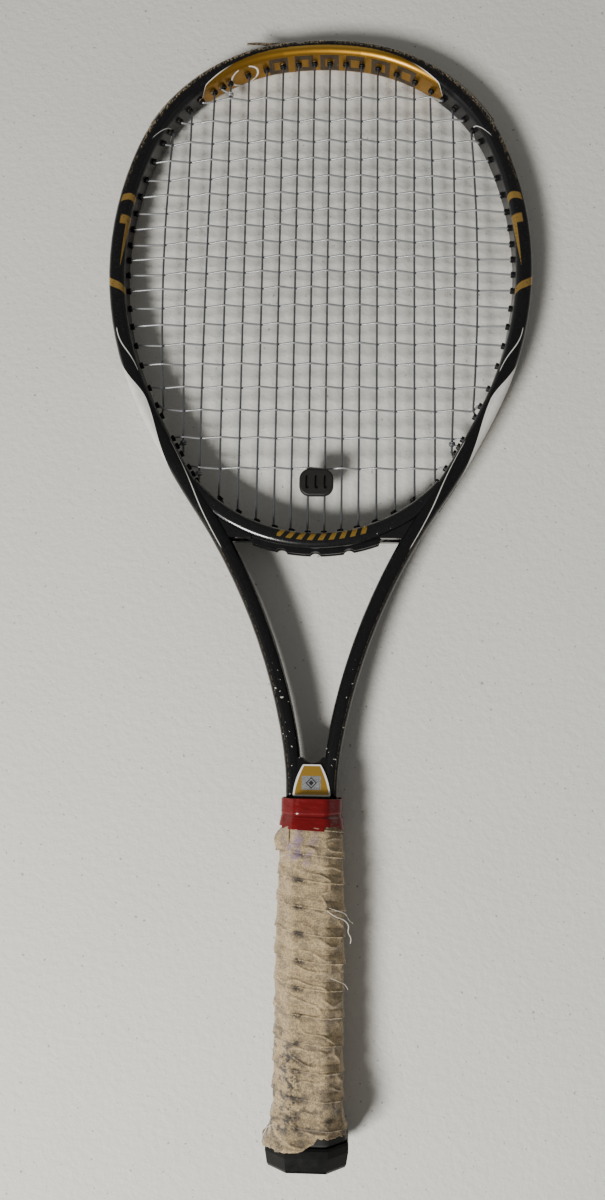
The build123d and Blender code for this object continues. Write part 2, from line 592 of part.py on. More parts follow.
# --- dampener -----------------------------------------------------------------------------------------
def vibration_dampener():
    """A rubber button with a front and a back plate, and a neck that sits between the centre mains."""
    width, length = DAMPENER_SIZE
    y = DAMPENER_TOP_Y - length / 2
    front_corner, back_corner, neck_corner = DAMPENER_CORNERS
    front = Pos(0, y, DAMPENER_SLOT) * RectangleRounded(width, length, front_corner)
    front = extrude(front, DAMPENER_FRONT - DAMPENER_SLOT)
    front = fillet(front.edges().group_by(Axis.Z)[-1], DAMPENER_EDGES[0])
    neck = extrude(RectangleRounded(DAMPENER_NECK, length - 1, neck_corner), DAMPENER_SLOT, both=True)
    back = Pos(0, y, -DAMPENER_SLOT) * RectangleRounded(*DAMPENER_BACK_SIZE, back_corner)
    back = extrude(back, DAMPENER_SLOT - DAMPENER_BACK)
    back = fillet(back.edges().group_by(Axis.Z)[0], DAMPENER_EDGES[1])
    long, wide, deep = DAMPENER_FLUTE
    for x in DAMPENER_FLUTE_X:
        front -= Pos(x, y, DAMPENER_FRONT) * extrude(SlotOverall(long, wide, rotation=90), -deep)
    return front + Pos(0, y, 0) * neck + back


# --- throat and handle --------------------------------------------------------------------------------
def throat_web(solid_hairpin):
    """The filler that joins the two shafts above the handle, with a rounded crotch at its top."""
    low = PALLET[-1][0] + FIT
    notch = SHAFT_TOP.X - SHAFT_WIDTH / 2 + CROTCH_CLEARANCE
    height = WEB_TOP_Y - low + notch / 2
    at_bottom = (Align.CENTER, Align.MIN, Align.CENTER)
    block = Pos(0, low, 0) * Box(2 * SHAFT_TOP.X, height, WEB_DEPTH, align=at_bottom)
    web = block - solid_hairpin - Pos(0, WEB_TOP_Y + notch, 0) * Cylinder(notch, 2 * WEB_DEPTH)
    return max(web.solids(), key=lambda solid: solid.volume)


def throat_badge():
    """A thin plate over the two shafts, narrower at its top and with bowed sides."""
    z = SHAFT_DEPTH / 2 + 5 * FIT
    right = [Vector(half, y) for y, half in BADGE_OUTLINE]
    left = flip(right)
    sides = [ThreePointArc(*right), ThreePointArc(*left)]
    ends = [Line(left[0], right[0]), Line(left[2], right[2])]
    outline = make_face(Curve() + sides + ends)
    outline = fillet(outline.vertices(), BADGE_CORNER)
    plate = extrude(Pos(0, 0, z) * outline, BADGE_THICKNESS)
    return fillet(plate.edges().group_by(Axis.Z)[-1], BADGE_EDGE)


def octagon(y, half):
    """The handle's section at a height: wider than deep, with its corners cut."""
    deep, cut = half * HANDLE_FLATNESS, half * HANDLE_CUT
    corners = [(half, deep - cut), (half - cut, deep)]
    ring = [(sx * x, sz * z) for sx, sz in ((1, 1), (-1, 1), (-1, -1), (1, -1)) for x, z in corners]
    order = [ring[0], ring[1], ring[3], ring[2], ring[4], ring[5], ring[7], ring[6]]
    plane = Plane(origin=(0, y, 0), x_dir=(1, 0, 0), z_dir=(0, 1, 0))
    return plane * make_face(Polyline(*order, close=True))


def stack(profile, grow=0.0):
    """A solid handle shape through (y, half width) stations. Two stations at one height make a step."""
    parts = []
    for (y0, half0), (y1, half1) in zip(profile, profile[1:]):
        if y1 > y0:
            parts.append(loft([octagon(y0, half0 + grow), octagon(y1, half1 + grow)], ruled=True))
    return parts[0] + parts[1:] if len(parts) > 1 else parts[0]


def half_at(profile, y):
    """The half width of a layer at a height."""
    pairs = list(zip(profile, profile[1:]))
    (y0, a), (y1, b) = next((p, q) for p, q in pairs if p[0] <= y <= q[0] and q[0] > p[0])
    return a + (b - a) * (y - y0) / (y1 - y0)


def sleeve(profile, inner_profiles, gap):
    """What is left of a layer once everything inside it is taken out, grown by gap."""
    solid = stack(profile)
    for inner in inner_profiles:
        low, high = inner[0][0] - 1, inner[-1][0] + 1
        longer = [(low, inner[0][1])] + inner + [(high, inner[-1][1])]
        solid -= stack(longer, gap)
    return max(solid.solids(), key=lambda s: s.volume)


def shaft_core(gap, low, high):
    """The two shafts as plain solids, grown by gap, to be cut out of what surrounds them."""
    section = tube_section(SHAFT_WIDTH, HANDLE_TUBE_DEPTH, SHAFT_CORNER, -gap)
    plane = Plane(origin=(0, low, 0), x_dir=(1, 0, 0), z_dir=(0, 1, 0))
    return [extrude(plane * Pos(side * SHAFT_TOP.X, 0) * section, high - low) for side in (-1, 1)]


def pallet(side):
    """One half of the foam handle mould, above (1) or below (-1) the middle plane."""
    body = stack(PALLET) - shaft_core(FIT, TUBE_END_Y - FIT, PALLET[-1][0] + 1)
    half = Box(80, 500, 40, align=(Align.CENTER, Align.CENTER, Align.MIN))
    body = body & (Pos(0, 0, FIT / 2) * half if side > 0 else Pos(0, 0, -FIT / 2 - 40) * half)
    return max(body.solids(), key=lambda s: s.volume)


def door_opening(gap):
    """The stepped hole in the butt end that the door fills, grown by gap."""
    width, depth, seat = DOOR_SEAT
    plane = Plane(origin=(0, -1, 0), x_dir=(1, 0, 0), z_dir=(0, 1, 0))
    flange = RectangleRounded(width + 2 * gap, depth + 2 * gap, DOOR_CORNERS[0] + gap)
    stem = RectangleRounded(DOOR_HOLE[0] + 2 * gap, DOOR_HOLE[1] + 2 * gap, DOOR_CORNERS[1] + gap)
    return extrude(plane * flange, seat + gap + 1) + extrude(plane * stem, PALLET[0][0])


def butt_cap():
    body = stack(CAP) + stack(CAP_SKIRT)
    pocket = [(CAP_FLOOR, PALLET[0][1]), (CAP_SKIRT[-1][0] + 1, PALLET[0][1])]
    body = body - stack(pocket, FIT) - door_opening(0.0)
    return max(body.solids(), key=lambda s: s.volume)


def butt_door():
    """The lift-out door in the butt end: a flat flange with a hollow stem behind it."""
    width, depth, seat = DOOR_SEAT
    plane = Plane(origin=(0, 0, 0), x_dir=(1, 0, 0), z_dir=(0, 1, 0))
    face = RectangleRounded(width - 2 * DOOR_GAP, depth - 2 * DOOR_GAP, DOOR_CORNERS[0] - DOOR_GAP)
    flange = extrude(plane * face, seat - DOOR_GAP)
    inner = Plane(origin=(0, seat - DOOR_GAP, 0), x_dir=(1, 0, 0), z_dir=(0, 1, 0))
    stem_width, stem_depth = DOOR_HOLE[0] - 2 * DOOR_GAP, DOOR_HOLE[1] - 2 * DOOR_GAP
    stem = RectangleRounded(stem_width, stem_depth, DOOR_CORNERS[1] - DOOR_GAP)
    hollow = (stem_width - 2 * DOOR_STEM_WALL, stem_depth - 2 * DOOR_STEM_WALL)
    stem -= RectangleRounded(*hollow, DOOR_CORNERS[1] - DOOR_GAP - DOOR_STEM_WALL)
    return flange + extrude(inner * stem, DOOR_LEG_END - seat)


def tube_end_plugs():
    section = tube_section(SHAFT_WIDTH, HANDLE_TUBE_DEPTH, SHAFT_CORNER, TUBE_WALL + FIT)
    plane = Plane(origin=(0, TUBE_END_Y, 0), x_dir=(1, 0, 0), z_dir=(0, 1, 0))
    return [extrude(plane * Pos(side * SHAFT_TOP.X, 0) * section, END_PLUG_LENGTH) for side in (-1, 1)]


def staple(z, side):
    """A wire staple driven square to the handle, with its crown at z, on the upper (1) or lower face."""
    crown = Pos(0, STAPLE_Y, z - side * STAPLE_WIRE / 2) * Box(STAPLE_SPAN, STAPLE_WIRE, STAPLE_WIRE)
    leg = Pos(0, STAPLE_Y, z - side * STAPLE_LEG / 2) * Box(STAPLE_WIRE, STAPLE_WIRE, STAPLE_LEG)
    reach = (STAPLE_SPAN - STAPLE_WIRE) / 2
    return crown + [Pos(reach, 0, 0) * leg, Pos(-reach, 0, 0) * leg]


def cap_staples():
    z = half_at(CAP_SKIRT, STAPLE_Y) * HANDLE_FLATNESS - STAPLE_SUNK
    return [staple(side * z, side) for side in (1, -1)]


def grip_tack():
    """The tack that holds the start of the base grip to the cap, on the left side."""
    x = half_at(BASE_GRIP, TACK_Y) - TACK_SUNK
    upright = (Align.CENTER, Align.CENTER, Align.MIN)
    head = Cylinder(TACK_HEAD_RADIUS, TACK_HEAD, align=upright)
    shank = Cylinder(TACK_SHANK_RADIUS, TACK_LENGTH, align=upright)
    return Plane(origin=(-x, TACK_Y, 0), z_dir=(1, 0, 0)) * (head + shank)


def finishing_tape():
    inner = [(y, half - TAPE_THICKNESS) for y, half in TAPE]
    return sleeve(TAPE, [inner], 0.0)


# --- the parts ----------------------------------------------------------------------------------------
def save(name, shape):
    pieces = shape if isinstance(shape, list) else [shape]
    solids = [solid for piece in pieces for solid in piece.solids()]
    whole = solids[0] if len(solids) == 1 else Compound(children=solids)
    whole.label = name
    export_step(whole, f"parts/{name}.step")
    print(name, len(solids), "solids")


def main():
    filled = hairpin(-FIT, TUBE_END_Y)
    first, second = BUMPER_END, SIDE_STRIP_END
    gap = STRIP_JOINT / 2
    parts = {
        "frame_tube": frame_tube(),
        "throat_bridge": throat_bridge(filled),
        "bumper_guard": grommet_strip(-first + gap, first - gap, flange=True),
        "right_side_grommet_strip": grommet_strip(first + gap, second - gap),
        "left_side_grommet_strip": grommet_strip(-second + gap, -first - gap),
        "right_lower_grommet_strip": grommet_strip(second + gap, HOOP_END - gap),
        "left_lower_grommet_strip": grommet_strip(-HOOP_END + gap, -second - gap),
        "throat_grommet_strip": throat_strip(filled),
        "main_string": main_string(),
        "cross_string": cross_string(),
        "vibration_dampener": vibration_dampener(),
        "throat_web": throat_web(filled),
        "throat_badge": throat_badge(),
        "upper_pallet": pallet(1),
        "lower_pallet": pallet(-1),
        "tube_end_plugs": tube_end_plugs(),
        "butt_cap": butt_cap(),
        "butt_door": butt_door(),
        "cap_staples": cap_staples(),
        "grip_tack": grip_tack(),
        "base_grip": sleeve(BASE_GRIP, [PALLET, CAP_SKIRT], FIT),
        "overgrip": sleeve(OVERGRIP, [BASE_GRIP], FIT),
        "finishing_tape": finishing_tape(),
    }
    for name, shape in parts.items():
        save(name, shape)


main()
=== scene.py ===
import bmesh
import bpy
import numpy as np
from math import atan2, cos, degrees, pi, radians, sin, sqrt
from mathutils import Matrix, Vector


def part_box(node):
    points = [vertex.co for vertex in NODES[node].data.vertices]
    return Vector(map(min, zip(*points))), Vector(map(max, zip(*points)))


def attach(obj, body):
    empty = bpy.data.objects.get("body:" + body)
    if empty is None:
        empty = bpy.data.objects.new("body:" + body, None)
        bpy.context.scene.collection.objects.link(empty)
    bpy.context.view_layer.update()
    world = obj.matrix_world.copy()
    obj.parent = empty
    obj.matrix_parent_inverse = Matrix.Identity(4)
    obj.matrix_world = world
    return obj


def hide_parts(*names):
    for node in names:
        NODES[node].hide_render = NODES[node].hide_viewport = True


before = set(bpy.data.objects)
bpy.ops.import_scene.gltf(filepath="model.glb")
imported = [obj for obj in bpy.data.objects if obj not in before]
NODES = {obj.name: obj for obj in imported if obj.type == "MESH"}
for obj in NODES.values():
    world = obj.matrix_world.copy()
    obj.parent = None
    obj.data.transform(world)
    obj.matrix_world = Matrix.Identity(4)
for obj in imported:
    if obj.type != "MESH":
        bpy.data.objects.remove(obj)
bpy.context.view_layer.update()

MM = 0.001

# --- the frame tube's centre line, as in the CAD: radius and turn of each arc from the tip -----------------
TUBE_HALF = 5.2
FACE_Z = 10.5
TIP_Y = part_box("frame_tube")[1].y / MM - TUBE_HALF
ARCS = [(183.8, 8.0), (110.8, 60.0), (210.8, 47.2), (495.8, 8.8), (-368.2, -23.6), (-183.6, -10.4)]


def walk():
    """(centre x, centre y, radius, first heading, last heading, length so far) of each arc, in mm."""
    x, y, heading, run, arcs = 0.0, TIP_Y, 0.0, 0.0, []
    for radius, turn in ARCS:
        a = radians(heading)
        cx, cy = x - sin(a) * radius, y - cos(a) * radius
        arcs.append((cx, cy, radius, heading, heading + turn, run))
        heading += turn
        run += abs(radius * radians(turn))
        a = radians(heading)
        x, y = cx + sin(a) * radius, cy + cos(a) * radius
    return arcs, x, y, run


BENDS, SHAFT_X, SHAFT_TOP_Y, SHAFT_RUN = walk()


def run_at(heading):
    """Length along the tube from the tip to a heading on the hoop."""
    for cx, cy, radius, first, last, run in BENDS[:4]:
        if heading <= last:
            return run + radius * radians(heading - first)


def on_hoop(heading, out, z):
    """A point by the hoop in metres. A negative heading is on the left."""
    side, h = (-1 if heading < 0 else 1), abs(heading)
    cx, cy, radius = next(b[:3] for b in BENDS[:4] if h <= b[4])
    a = radians(h)
    return Vector((side * (cx + sin(a) * (radius + out)), cy + cos(a) * (radius + out), z)) * MM


# --- shader building ---------------------------------------------------------------------------------------
class Finish:
    """A material with short ways to add nodes. Values are sockets or plain numbers."""

    def __init__(self, name, **inputs):
        self.material = bpy.data.materials.new(name)
        self.material.use_nodes = True
        self.tree = self.material.node_tree
        self.tree.nodes.clear()
        self.shader = self.add("ShaderNodeBsdfPrincipled")
        output = self.add("ShaderNodeOutputMaterial")
        self.tree.links.new(self.shader.outputs[0], output.inputs[0])
        for key, value in inputs.items():
            self.set(key.replace("_", " "), value)

    def add(self, kind, **settings):
        node = self.tree.nodes.new(kind)
        for key, value in settings.items():
            setattr(node, key, value)
        return node

    def feed(self, socket, value):
        if isinstance(value, bpy.types.NodeSocket):
            self.tree.links.new(value, socket)
        elif isinstance(value, (tuple, list)) and len(value) == 3 and socket.type == "RGBA":
            socket.default_value = (*value, 1.0)
        else:
            socket.default_value = value

    def set(self, name, value):
        self.feed(self.shader.inputs[name], value)

    def math(self, operation, a, b=0.0, c=0.0):
        node = self.add("ShaderNodeMath", operation=operation)
        for socket, value in zip(node.inputs, (a, b, c)):
            self.feed(socket, value)
        return node.outputs[0]

    def plus(self, a, b):
        return self.math("ADD", a, b)

    def minus(self, a, b):
        return self.math("SUBTRACT", a, b)

    def times(self, *values):
        total = values[0]
        for value in values[1:]:
            total = self.math("MULTIPLY", total, value)
        return total

    def both(self, *masks):
        return self.times(*masks)

    def either(self, *masks):
        total = masks[0]
        for value in masks[1:]:
            total = self.math("MAXIMUM", total, value)
        return total

    def rise(self, value, low, high, to_low=0.0, to_high=1.0):
        """A smooth step from to_low to to_high as value goes from low to high."""
        node = self.add("ShaderNodeMapRange", interpolation_type="SMOOTHSTEP")
        for socket, v in zip(node.inputs, (value, low, high, to_low, to_high)):
            self.feed(socket, v)
        return node.outputs[0]

    def between(self, value, low, high, soft):
        above = self.rise(value, low - soft, low + soft)
        below = self.rise(value, high - soft, high + soft, 1.0, 0.0)
        return self.both(above, below)

    def near(self, value, target, half, soft):
        distance = self.math("ABSOLUTE", self.minus(value, target))
        return self.rise(distance, half - soft, half + soft, 1.0, 0.0)

    def place(self, stretch=(1.0, 1.0, 1.0)):
        """The row-frame position in mm, stretched along each axis."""
        at = self.add("ShaderNodeTexCoord").outputs["Object"]
        scale = self.add("ShaderNodeVectorMath", operation="MULTIPLY")
        self.tree.links.new(at, scale.inputs[0])
        scale.inputs[1].default_value = [s / MM for s in stretch]
        return scale.outputs[0]

    def split(self, vector):
        node = self.add("ShaderNodeSeparateXYZ")
        self.tree.links.new(vector, node.inputs[0])
        return node.outputs

    def noise(self, size, detail=3.0, roughness=0.55, vector=None, stretch=(1.0, 1.0, 1.0)):
        """Soft noise, 0 to 1, whose lumps are about size mm across."""
        node = self.add("ShaderNodeTexNoise")
        self.tree.links.new(vector or self.place(stretch), node.inputs["Vector"])
        node.inputs["Scale"].default_value = 1.0 / size
        node.inputs["Detail"].default_value = detail
        node.inputs["Roughness"].default_value = roughness
        return node.outputs[0]

    def cells(self, size, output="Distance", vector=None):
        node = self.add("ShaderNodeTexVoronoi")
        self.tree.links.new(vector or self.place(), node.inputs["Vector"])
        node.inputs["Scale"].default_value = 1.0 / size
        return node.outputs[output]

    def mix(self, share, a, b):
        node = self.add("ShaderNodeMix", data_type="RGBA")
        for socket, value in zip((node.inputs[0], node.inputs[6], node.inputs[7]), (share, a, b)):
            self.feed(socket, value)
        return node.outputs[2]

    def blend(self, share, a, b):
        return self.plus(self.times(self.minus(1.0, share), a), self.times(share, b))

    def bump(self, height, depth, strength=1.0):
        """Height 0 to 1 stands for depth mm."""
        node = self.add("ShaderNodeBump")
        node.inputs["Distance"].default_value = depth * MM
        node.inputs["Strength"].default_value = strength
        self.tree.links.new(height, node.inputs["Height"])
        if self.shader.inputs["Normal"].links:
            self.tree.links.new(self.shader.inputs["Normal"].links[0].from_socket, node.inputs["Normal"])
        self.tree.links.new(node.outputs[0], self.shader.inputs["Normal"])

    def give(self, *objects):
        for piece in objects:
            piece.data.materials.clear()
            piece.data.materials.append(self.material)


# --- colours -----------------------------------------------------------------------------------------------
BLACK = (0.0035, 0.0035, 0.0036)
CHARCOAL = (0.010, 0.0105, 0.012)
GOLD = (0.34, 0.175, 0.018)
OLD_GOLD = (0.30, 0.185, 0.045)
WHITE = (0.72, 0.71, 0.67)


def tube_coordinates(f):
    """Sockets for a point on the tube: run along it from the tip, across it from its outer corner (-5.2)
    over the face and down the inner wall, out from its centre line, then x, y and z, all in mm."""
    x, y, z = f.split(f.place())
    side_x = f.math("ABSOLUTE", x)
    run, out = 0.0, 0.0
    for cx, cy, radius, first, last, start in BENDS:
        away = 1.0 if radius > 0 else -1.0
        dx, dy = f.times(f.minus(side_x, cx), away), f.times(f.minus(y, cy), away)
        heading = f.times(f.math("ARCTAN2", dx, dy), 180.0 / pi)
        reach = f.math("SQRT", f.plus(f.times(dx, dx), f.times(dy, dy)))
        this_run = f.plus(f.times(f.minus(heading, first), radians(1) * radius), start)
        this_out = f.times(f.minus(reach, abs(radius)), away)
        if start == 0.0:
            run, out = this_run, this_out
            continue
        chosen = f.math("GREATER_THAN", heading, first) if away > 0 else f.math("LESS_THAN", heading, first)
        run, out = f.blend(chosen, run, this_run), f.blend(chosen, out, this_out)
    straight = f.math("LESS_THAN", y, SHAFT_TOP_Y)
    run = f.blend(straight, run, f.plus(f.minus(SHAFT_TOP_Y, y), SHAFT_RUN))
    out = f.blend(straight, out, f.minus(side_x, SHAFT_X))
    down = f.minus(FACE_Z, f.math("ABSOLUTE", z))
    turn = f.math("MINIMUM", f.math("MAXIMUM", f.times(out, -1.0), -1.0), 1.0)
    across = f.plus(f.times(out, -1.0), f.times(down, turn))
    return run, across, out, x, y, z


def frame_paint():
    f = Finish("frame_lacquer", Roughness=0.3, Coat_Weight=0.30, Coat_Roughness=0.14, Specular_IOR_Level=0.25)
    run, across, out, x, y, z = tube_coordinates(f)
    S = run_at
    # base: black lacquer over fine carbon, with a charcoal inner side round the head
    flake = f.rise(f.cells(0.5, "Color"), 0.80, 0.98)
    carbon = f.noise(1.2, 4.0, 0.7, stretch=(1.0, 1.0, 0.4))
    base = f.mix(f.rise(carbon, 0.45, 0.75), BLACK, (0.008, 0.008, 0.009))
    head = f.rise(run, S(104), S(112), 1.0, 0.0)
    base = f.mix(f.times(flake, head, 0.5), base, (0.035, 0.035, 0.038))
    inner = f.both(f.rise(across, 3.6, 4.6), f.between(run, S(44), S(118), 3.0))
    base = f.mix(f.times(inner, 0.6), base, CHARCOAL)
    # gold crescent on the head, with a thin white outline that rounds off both ends
    edge = f.plus(0.3, f.times(5.0, f.math("POWER", f.math("DIVIDE", run, S(37)), 4.0)))
    edge = f.plus(edge, f.times(15.0, f.math("POWER", f.rise(run, S(36.5), S(42.5)), 1.6)))
    worn = f.times(f.minus(f.noise(2.2, 4.0), 0.5), 1.1)
    gold = f.rise(f.minus(f.plus(across, worn), edge), -0.12, 0.12)
    # a brighter gold streak along the face near the tip: painted highlight
    painted_highlight = f.both(f.near(across, 1.0, 0.6, 1.4), f.rise(run, S(24), S(4)), f.plus(0.4, f.noise(20.0, 3.0)))
    leaf = f.mix(f.noise(9.0, 4.0), GOLD, (0.24, 0.12, 0.012))
    colour = f.mix(gold, base, f.mix(painted_highlight, leaf, (0.80, 0.50, 0.10)))
    outline = f.both(f.near(across, edge, 0.34, 0.12), f.rise(run, S(25), S(33)),
                     f.rise(run, S(43), S(43.5), 1.0, 0.0))
    metal = gold
    # plain dashes where the head carries its marking
    column = f.math("FRACT", f.math("DIVIDE", f.plus(x, 37.0), 16.7))
    dash = f.both(f.between(column, 0.13, 0.87, 0.02), f.between(across, 8.2, 23.5, 0.2),
                  f.between(x, -37.0, 63.2, 0.1))
    slot = f.both(f.between(column, 0.34, 0.66, 0.03), f.near(across, 15.8, 3.6, 0.2))
    dash = f.times(dash, f.minus(1.0, slot), f.rise(f.noise(1.2, 3.0), 0.30, 0.36))
    colour = f.mix(f.times(dash, 0.92), colour, (0.012, 0.010, 0.008))
    # a plain white broken ring at the left end of the marking
    ring_run, ring_across = f.minus(run, S(22.8)), f.times(f.minus(across, 15.5), 1.25)
    ring_reach = f.math("SQRT", f.plus(f.times(ring_run, ring_run), f.times(ring_across, ring_across)))
    ring = f.both(f.near(ring_reach, 9.6, 0.65, 0.2), f.rise(f.math("ABSOLUTE", ring_run), 3.4, 4.2),
                  f.rise(x, 0.0, -4.0))
    metal = f.times(metal, f.minus(1.0, dash))
    # gold hooks, flames and bands on both sides
    hook_at = f.plus(S(77.2), f.times(0.05, f.math("POWER", f.minus(across, 4.0), 2.0)))
    hook = f.both(f.between(f.minus(run, hook_at), 0.0, 4.4, 0.3), f.between(across, -3.0, 9.5, 0.5))
    along = f.math("DIVIDE", f.minus(run, S(81.4)), S(91.0) - S(81.4))
    keel = f.minus(6.6, f.times(4.0, f.math("POWER", f.math("MAXIMUM", along, 0.0), 1.5)))
    off_keel = f.minus(f.math("ABSOLUTE", f.minus(across, keel)), f.times(2.9, f.minus(1.0, along)))
    flame = f.both(f.rise(off_keel, -0.2, 0.2, 1.0, 0.0), f.between(along, 0.0, 0.98, 0.01))
    tongue = f.both(f.between(along, 0.0, 0.16, 0.02), f.between(across, -0.5, 7.5, 0.4))
    band_at = f.plus(S(94.2), f.times(0.5, across))
    band = f.both(f.near(run, band_at, 2.5, 0.25), f.between(across, -8.0, 9.0, 0.8))
    chipped = f.rise(f.noise(1.4, 5.0, 0.7), 0.36, 0.42)
    side_gold = f.times(f.either(hook, flame, tongue, band), chipped)
    colour = f.mix(side_gold, colour, OLD_GOLD)
    metal = f.either(metal, f.times(side_gold, 0.6))
    # white panels low on the outside
    waist = S(115.3)
    upper = f.math("DIVIDE", f.minus(waist, run), waist - S(109.0))
    lower = f.math("DIVIDE", f.minus(run, waist), S(120.0) - waist)
    upper, lower = [f.math("POWER", f.math("MAXIMUM", end, 0.0), 1.5) for end in (upper, lower)]
    panel_edge = f.minus(2.2, f.times(8.0, f.plus(upper, lower)))
    panel_gap = f.minus(across, panel_edge)
    panel = f.both(f.rise(panel_gap, -0.1, 0.1, 1.0, 0.0), f.between(run, S(107.5), S(121.5), 1.0))
    grime = f.rise(f.noise(7.0, 5.0, 0.65), 0.35, 0.8)
    colour = f.mix(panel, colour, f.mix(f.times(grime, 0.35), (0.66, 0.65, 0.61), (0.40, 0.38, 0.34)))
    rim = f.both(f.near(panel_gap, -1.3, 0.14, 0.06), f.between(run, S(110.5), S(118.8), 2.0))
    colour = f.mix(f.times(rim, 0.5), colour, (0.25, 0.25, 0.25))
    # thin white and silver lines
    arc_at = f.plus(S(55.2), f.times(26.0, f.math("EXPONENT", f.math("DIVIDE", across, -6.0))))
    arc = f.both(f.near(run, arc_at, 0.42, 0.15), f.between(across, 2.4, 19.0, 0.4))
    line_at = f.plus(-2.9, f.times(7.6, f.rise(run, S(102.5), S(110.5))))
    line = f.both(f.near(across, line_at, 0.3, 0.12), f.between(run, S(102.0), S(110.2), 1.0))
    sweep_at = f.minus(5.2, f.times(8.4, f.rise(run, S(119.2), S(124.0) + 24.0)))
    sweep = f.both(f.near(across, sweep_at, 0.28, 0.12), f.between(run, S(119.0), S(124.0) + 30.0, 2.0))
    lines = f.either(outline, ring, f.times(arc, 0.8), f.times(line, 0.9), f.times(sweep, 0.8))
    colour = f.mix(lines, colour, WHITE)
    metal = f.times(metal, f.minus(1.0, lines))
    # worn gold along the shafts' outer edges, and chips in the lacquer
    rub = f.rise(f.noise(1.6, 5.0, 0.75), 0.44, 0.56)
    bare = f.both(f.near(across, -4.4, 0.35, 0.2), f.between(run, 400.0, 575.0, 12.0), rub)
    colour = f.mix(f.times(bare, 0.22), colour, (0.30, 0.23, 0.13))
    head_edge = f.times(f.rise(run, S(30), S(50), 1.0, 0.0), f.rise(across, -1.5, -4.0))
    chip_zone = f.either(f.between(run, 505.0, 572.0, 14.0), head_edge)
    chip = f.both(f.rise(f.noise(2.1, 2.0, 0.5), 0.70, 0.73), chip_zone)
    colour = f.mix(f.times(chip, 0.85), colour, (0.55, 0.53, 0.49))
    drag = f.noise(1.3, 6.0, 0.8, stretch=(1.0, 0.5, 1.0))
    scuff = f.both(f.rise(drag, 0.50, 0.57), f.rise(run, S(50), S(80), 1.0, 0.0),
                   f.rise(across, -0.4, -2.6), f.rise(f.noise(13.0, 3.0), 0.34, 0.52))
    bared = f.mix(f.noise(0.8, 3.0), (0.34, 0.22, 0.07), (0.55, 0.47, 0.34))
    colour = f.mix(f.times(scuff, 0.9), colour, bared)
    f.set("Base Color", colour)
    f.set("Metallic", f.times(metal, 0.85))
    dull = f.either(f.times(inner, 0.22), f.times(scuff, 0.4), f.times(chip, 0.4))
    dull = f.either(dull, f.times(f.noise(9.0, 4.0), 0.12))
    f.set("Roughness", f.plus(f.plus(0.2, dull), f.times(gold, 0.12)))
    f.bump(f.noise(0.35, 3.0), 0.012)
    f.bump(f.minus(1.0, f.either(chip, f.times(scuff, 0.5))), 0.08)
    f.bump(f.noise(14.0, 2.0), 0.06)
    return f


def bridge_paint(centre_y, radius):
    f = Finish("bridge_lacquer", Coat_Weight=0.5, Coat_Roughness=0.12, Specular_IOR_Level=0.35)
    x, y, z = f.split(f.place())
    dy = f.minus(centre_y, y)
    turn = f.times(f.math("ARCTAN2", x, dy), 180.0 / pi)
    reach = f.math("SQRT", f.plus(f.times(x, x), f.times(dy, dy)))
    slant = f.plus(turn, f.times(0.35, f.minus(reach, radius)))
    column = f.math("FRACT", f.math("DIVIDE", f.plus(slant, 90.0), 3.6))
    bars = f.both(f.between(column, 0.26, 0.74, 0.03), f.between(reach, radius - 3.9, radius + 0.4, 0.15),
                  f.between(turn, -13.0, 18.0, 0.1), f.rise(z, 0.0, 1.0))
    worn = f.rise(f.noise(1.0, 4.0), 0.34, 0.42)
    bars = f.times(bars, worn)
    base = f.mix(f.rise(f.noise(1.5, 4.0), 0.4, 0.8), BLACK, (0.007, 0.007, 0.008))
    chip = f.rise(f.noise(1.9, 3.0), 0.73, 0.76)
    colour = f.mix(bars, base, (0.52, 0.31, 0.05))
    f.set("Base Color", f.mix(f.times(chip, 0.7), colour, (0.5, 0.5, 0.48)))
    f.set("Metallic", f.times(bars, 0.8))
    f.set("Roughness", f.plus(0.16, f.times(0.14, f.noise(6.0, 4.0))))
    f.bump(f.noise(0.4, 3.0), 0.01)
    f.bump(f.noise(11.0, 2.0), 0.05)
    return f


def bumper_plastic():
    f = Finish("bumper_scuffed", Specular_IOR_Level=0.4)
    run, across, out, x, y, z = tube_coordinates(f)
    S = run_at
    drag = f.noise(1.3, 6.0, 0.8, stretch=(1.0, 1.0, 2.0))
    wear = f.rise(f.noise(16.0, 3.0), 0.35, 0.65)
    scuff = f.times(f.rise(drag, 0.47, 0.55), f.rise(run, S(20), S(58), 1.0, 0.45), f.plus(0.45, wear))
    pale = f.rise(f.noise(0.8, 5.0, 0.7), 0.50, 0.60)
    base = f.mix(f.noise(3.0, 4.0), (0.006, 0.006, 0.006), (0.016, 0.015, 0.014))
    colour = f.mix(scuff, base, f.mix(pale, (0.26, 0.17, 0.06), (0.62, 0.55, 0.43)))
    f.set("Base Color", colour)
    f.set("Roughness", f.plus(0.38, f.times(0.4, scuff)))
    f.bump(f.minus(1.0, scuff), 0.15)
    f.bump(drag, 0.08)
    return f


def moulded_plastic(name, dark, light, roughness, grain=0.6, dust=0.0):
    f = Finish(name, Specular_IOR_Level=0.16)
    cloud = f.noise(5.0, 5.0, 0.6)
    colour = f.mix(cloud, dark, light)
    if dust:
        settled = f.rise(f.noise(3.0, 6.0, 0.75), 0.52, 0.75)
        colour = f.mix(f.times(settled, dust), colour, (0.30, 0.28, 0.25))
    f.set("Base Color", colour)
    f.set("Roughness", f.plus(roughness, f.times(0.2, f.minus(cloud, 0.5))))
    f.bump(f.noise(grain, 4.0, 0.6), 0.03)
    f.bump(f.noise(0.15, 2.0), 0.01)
    return f


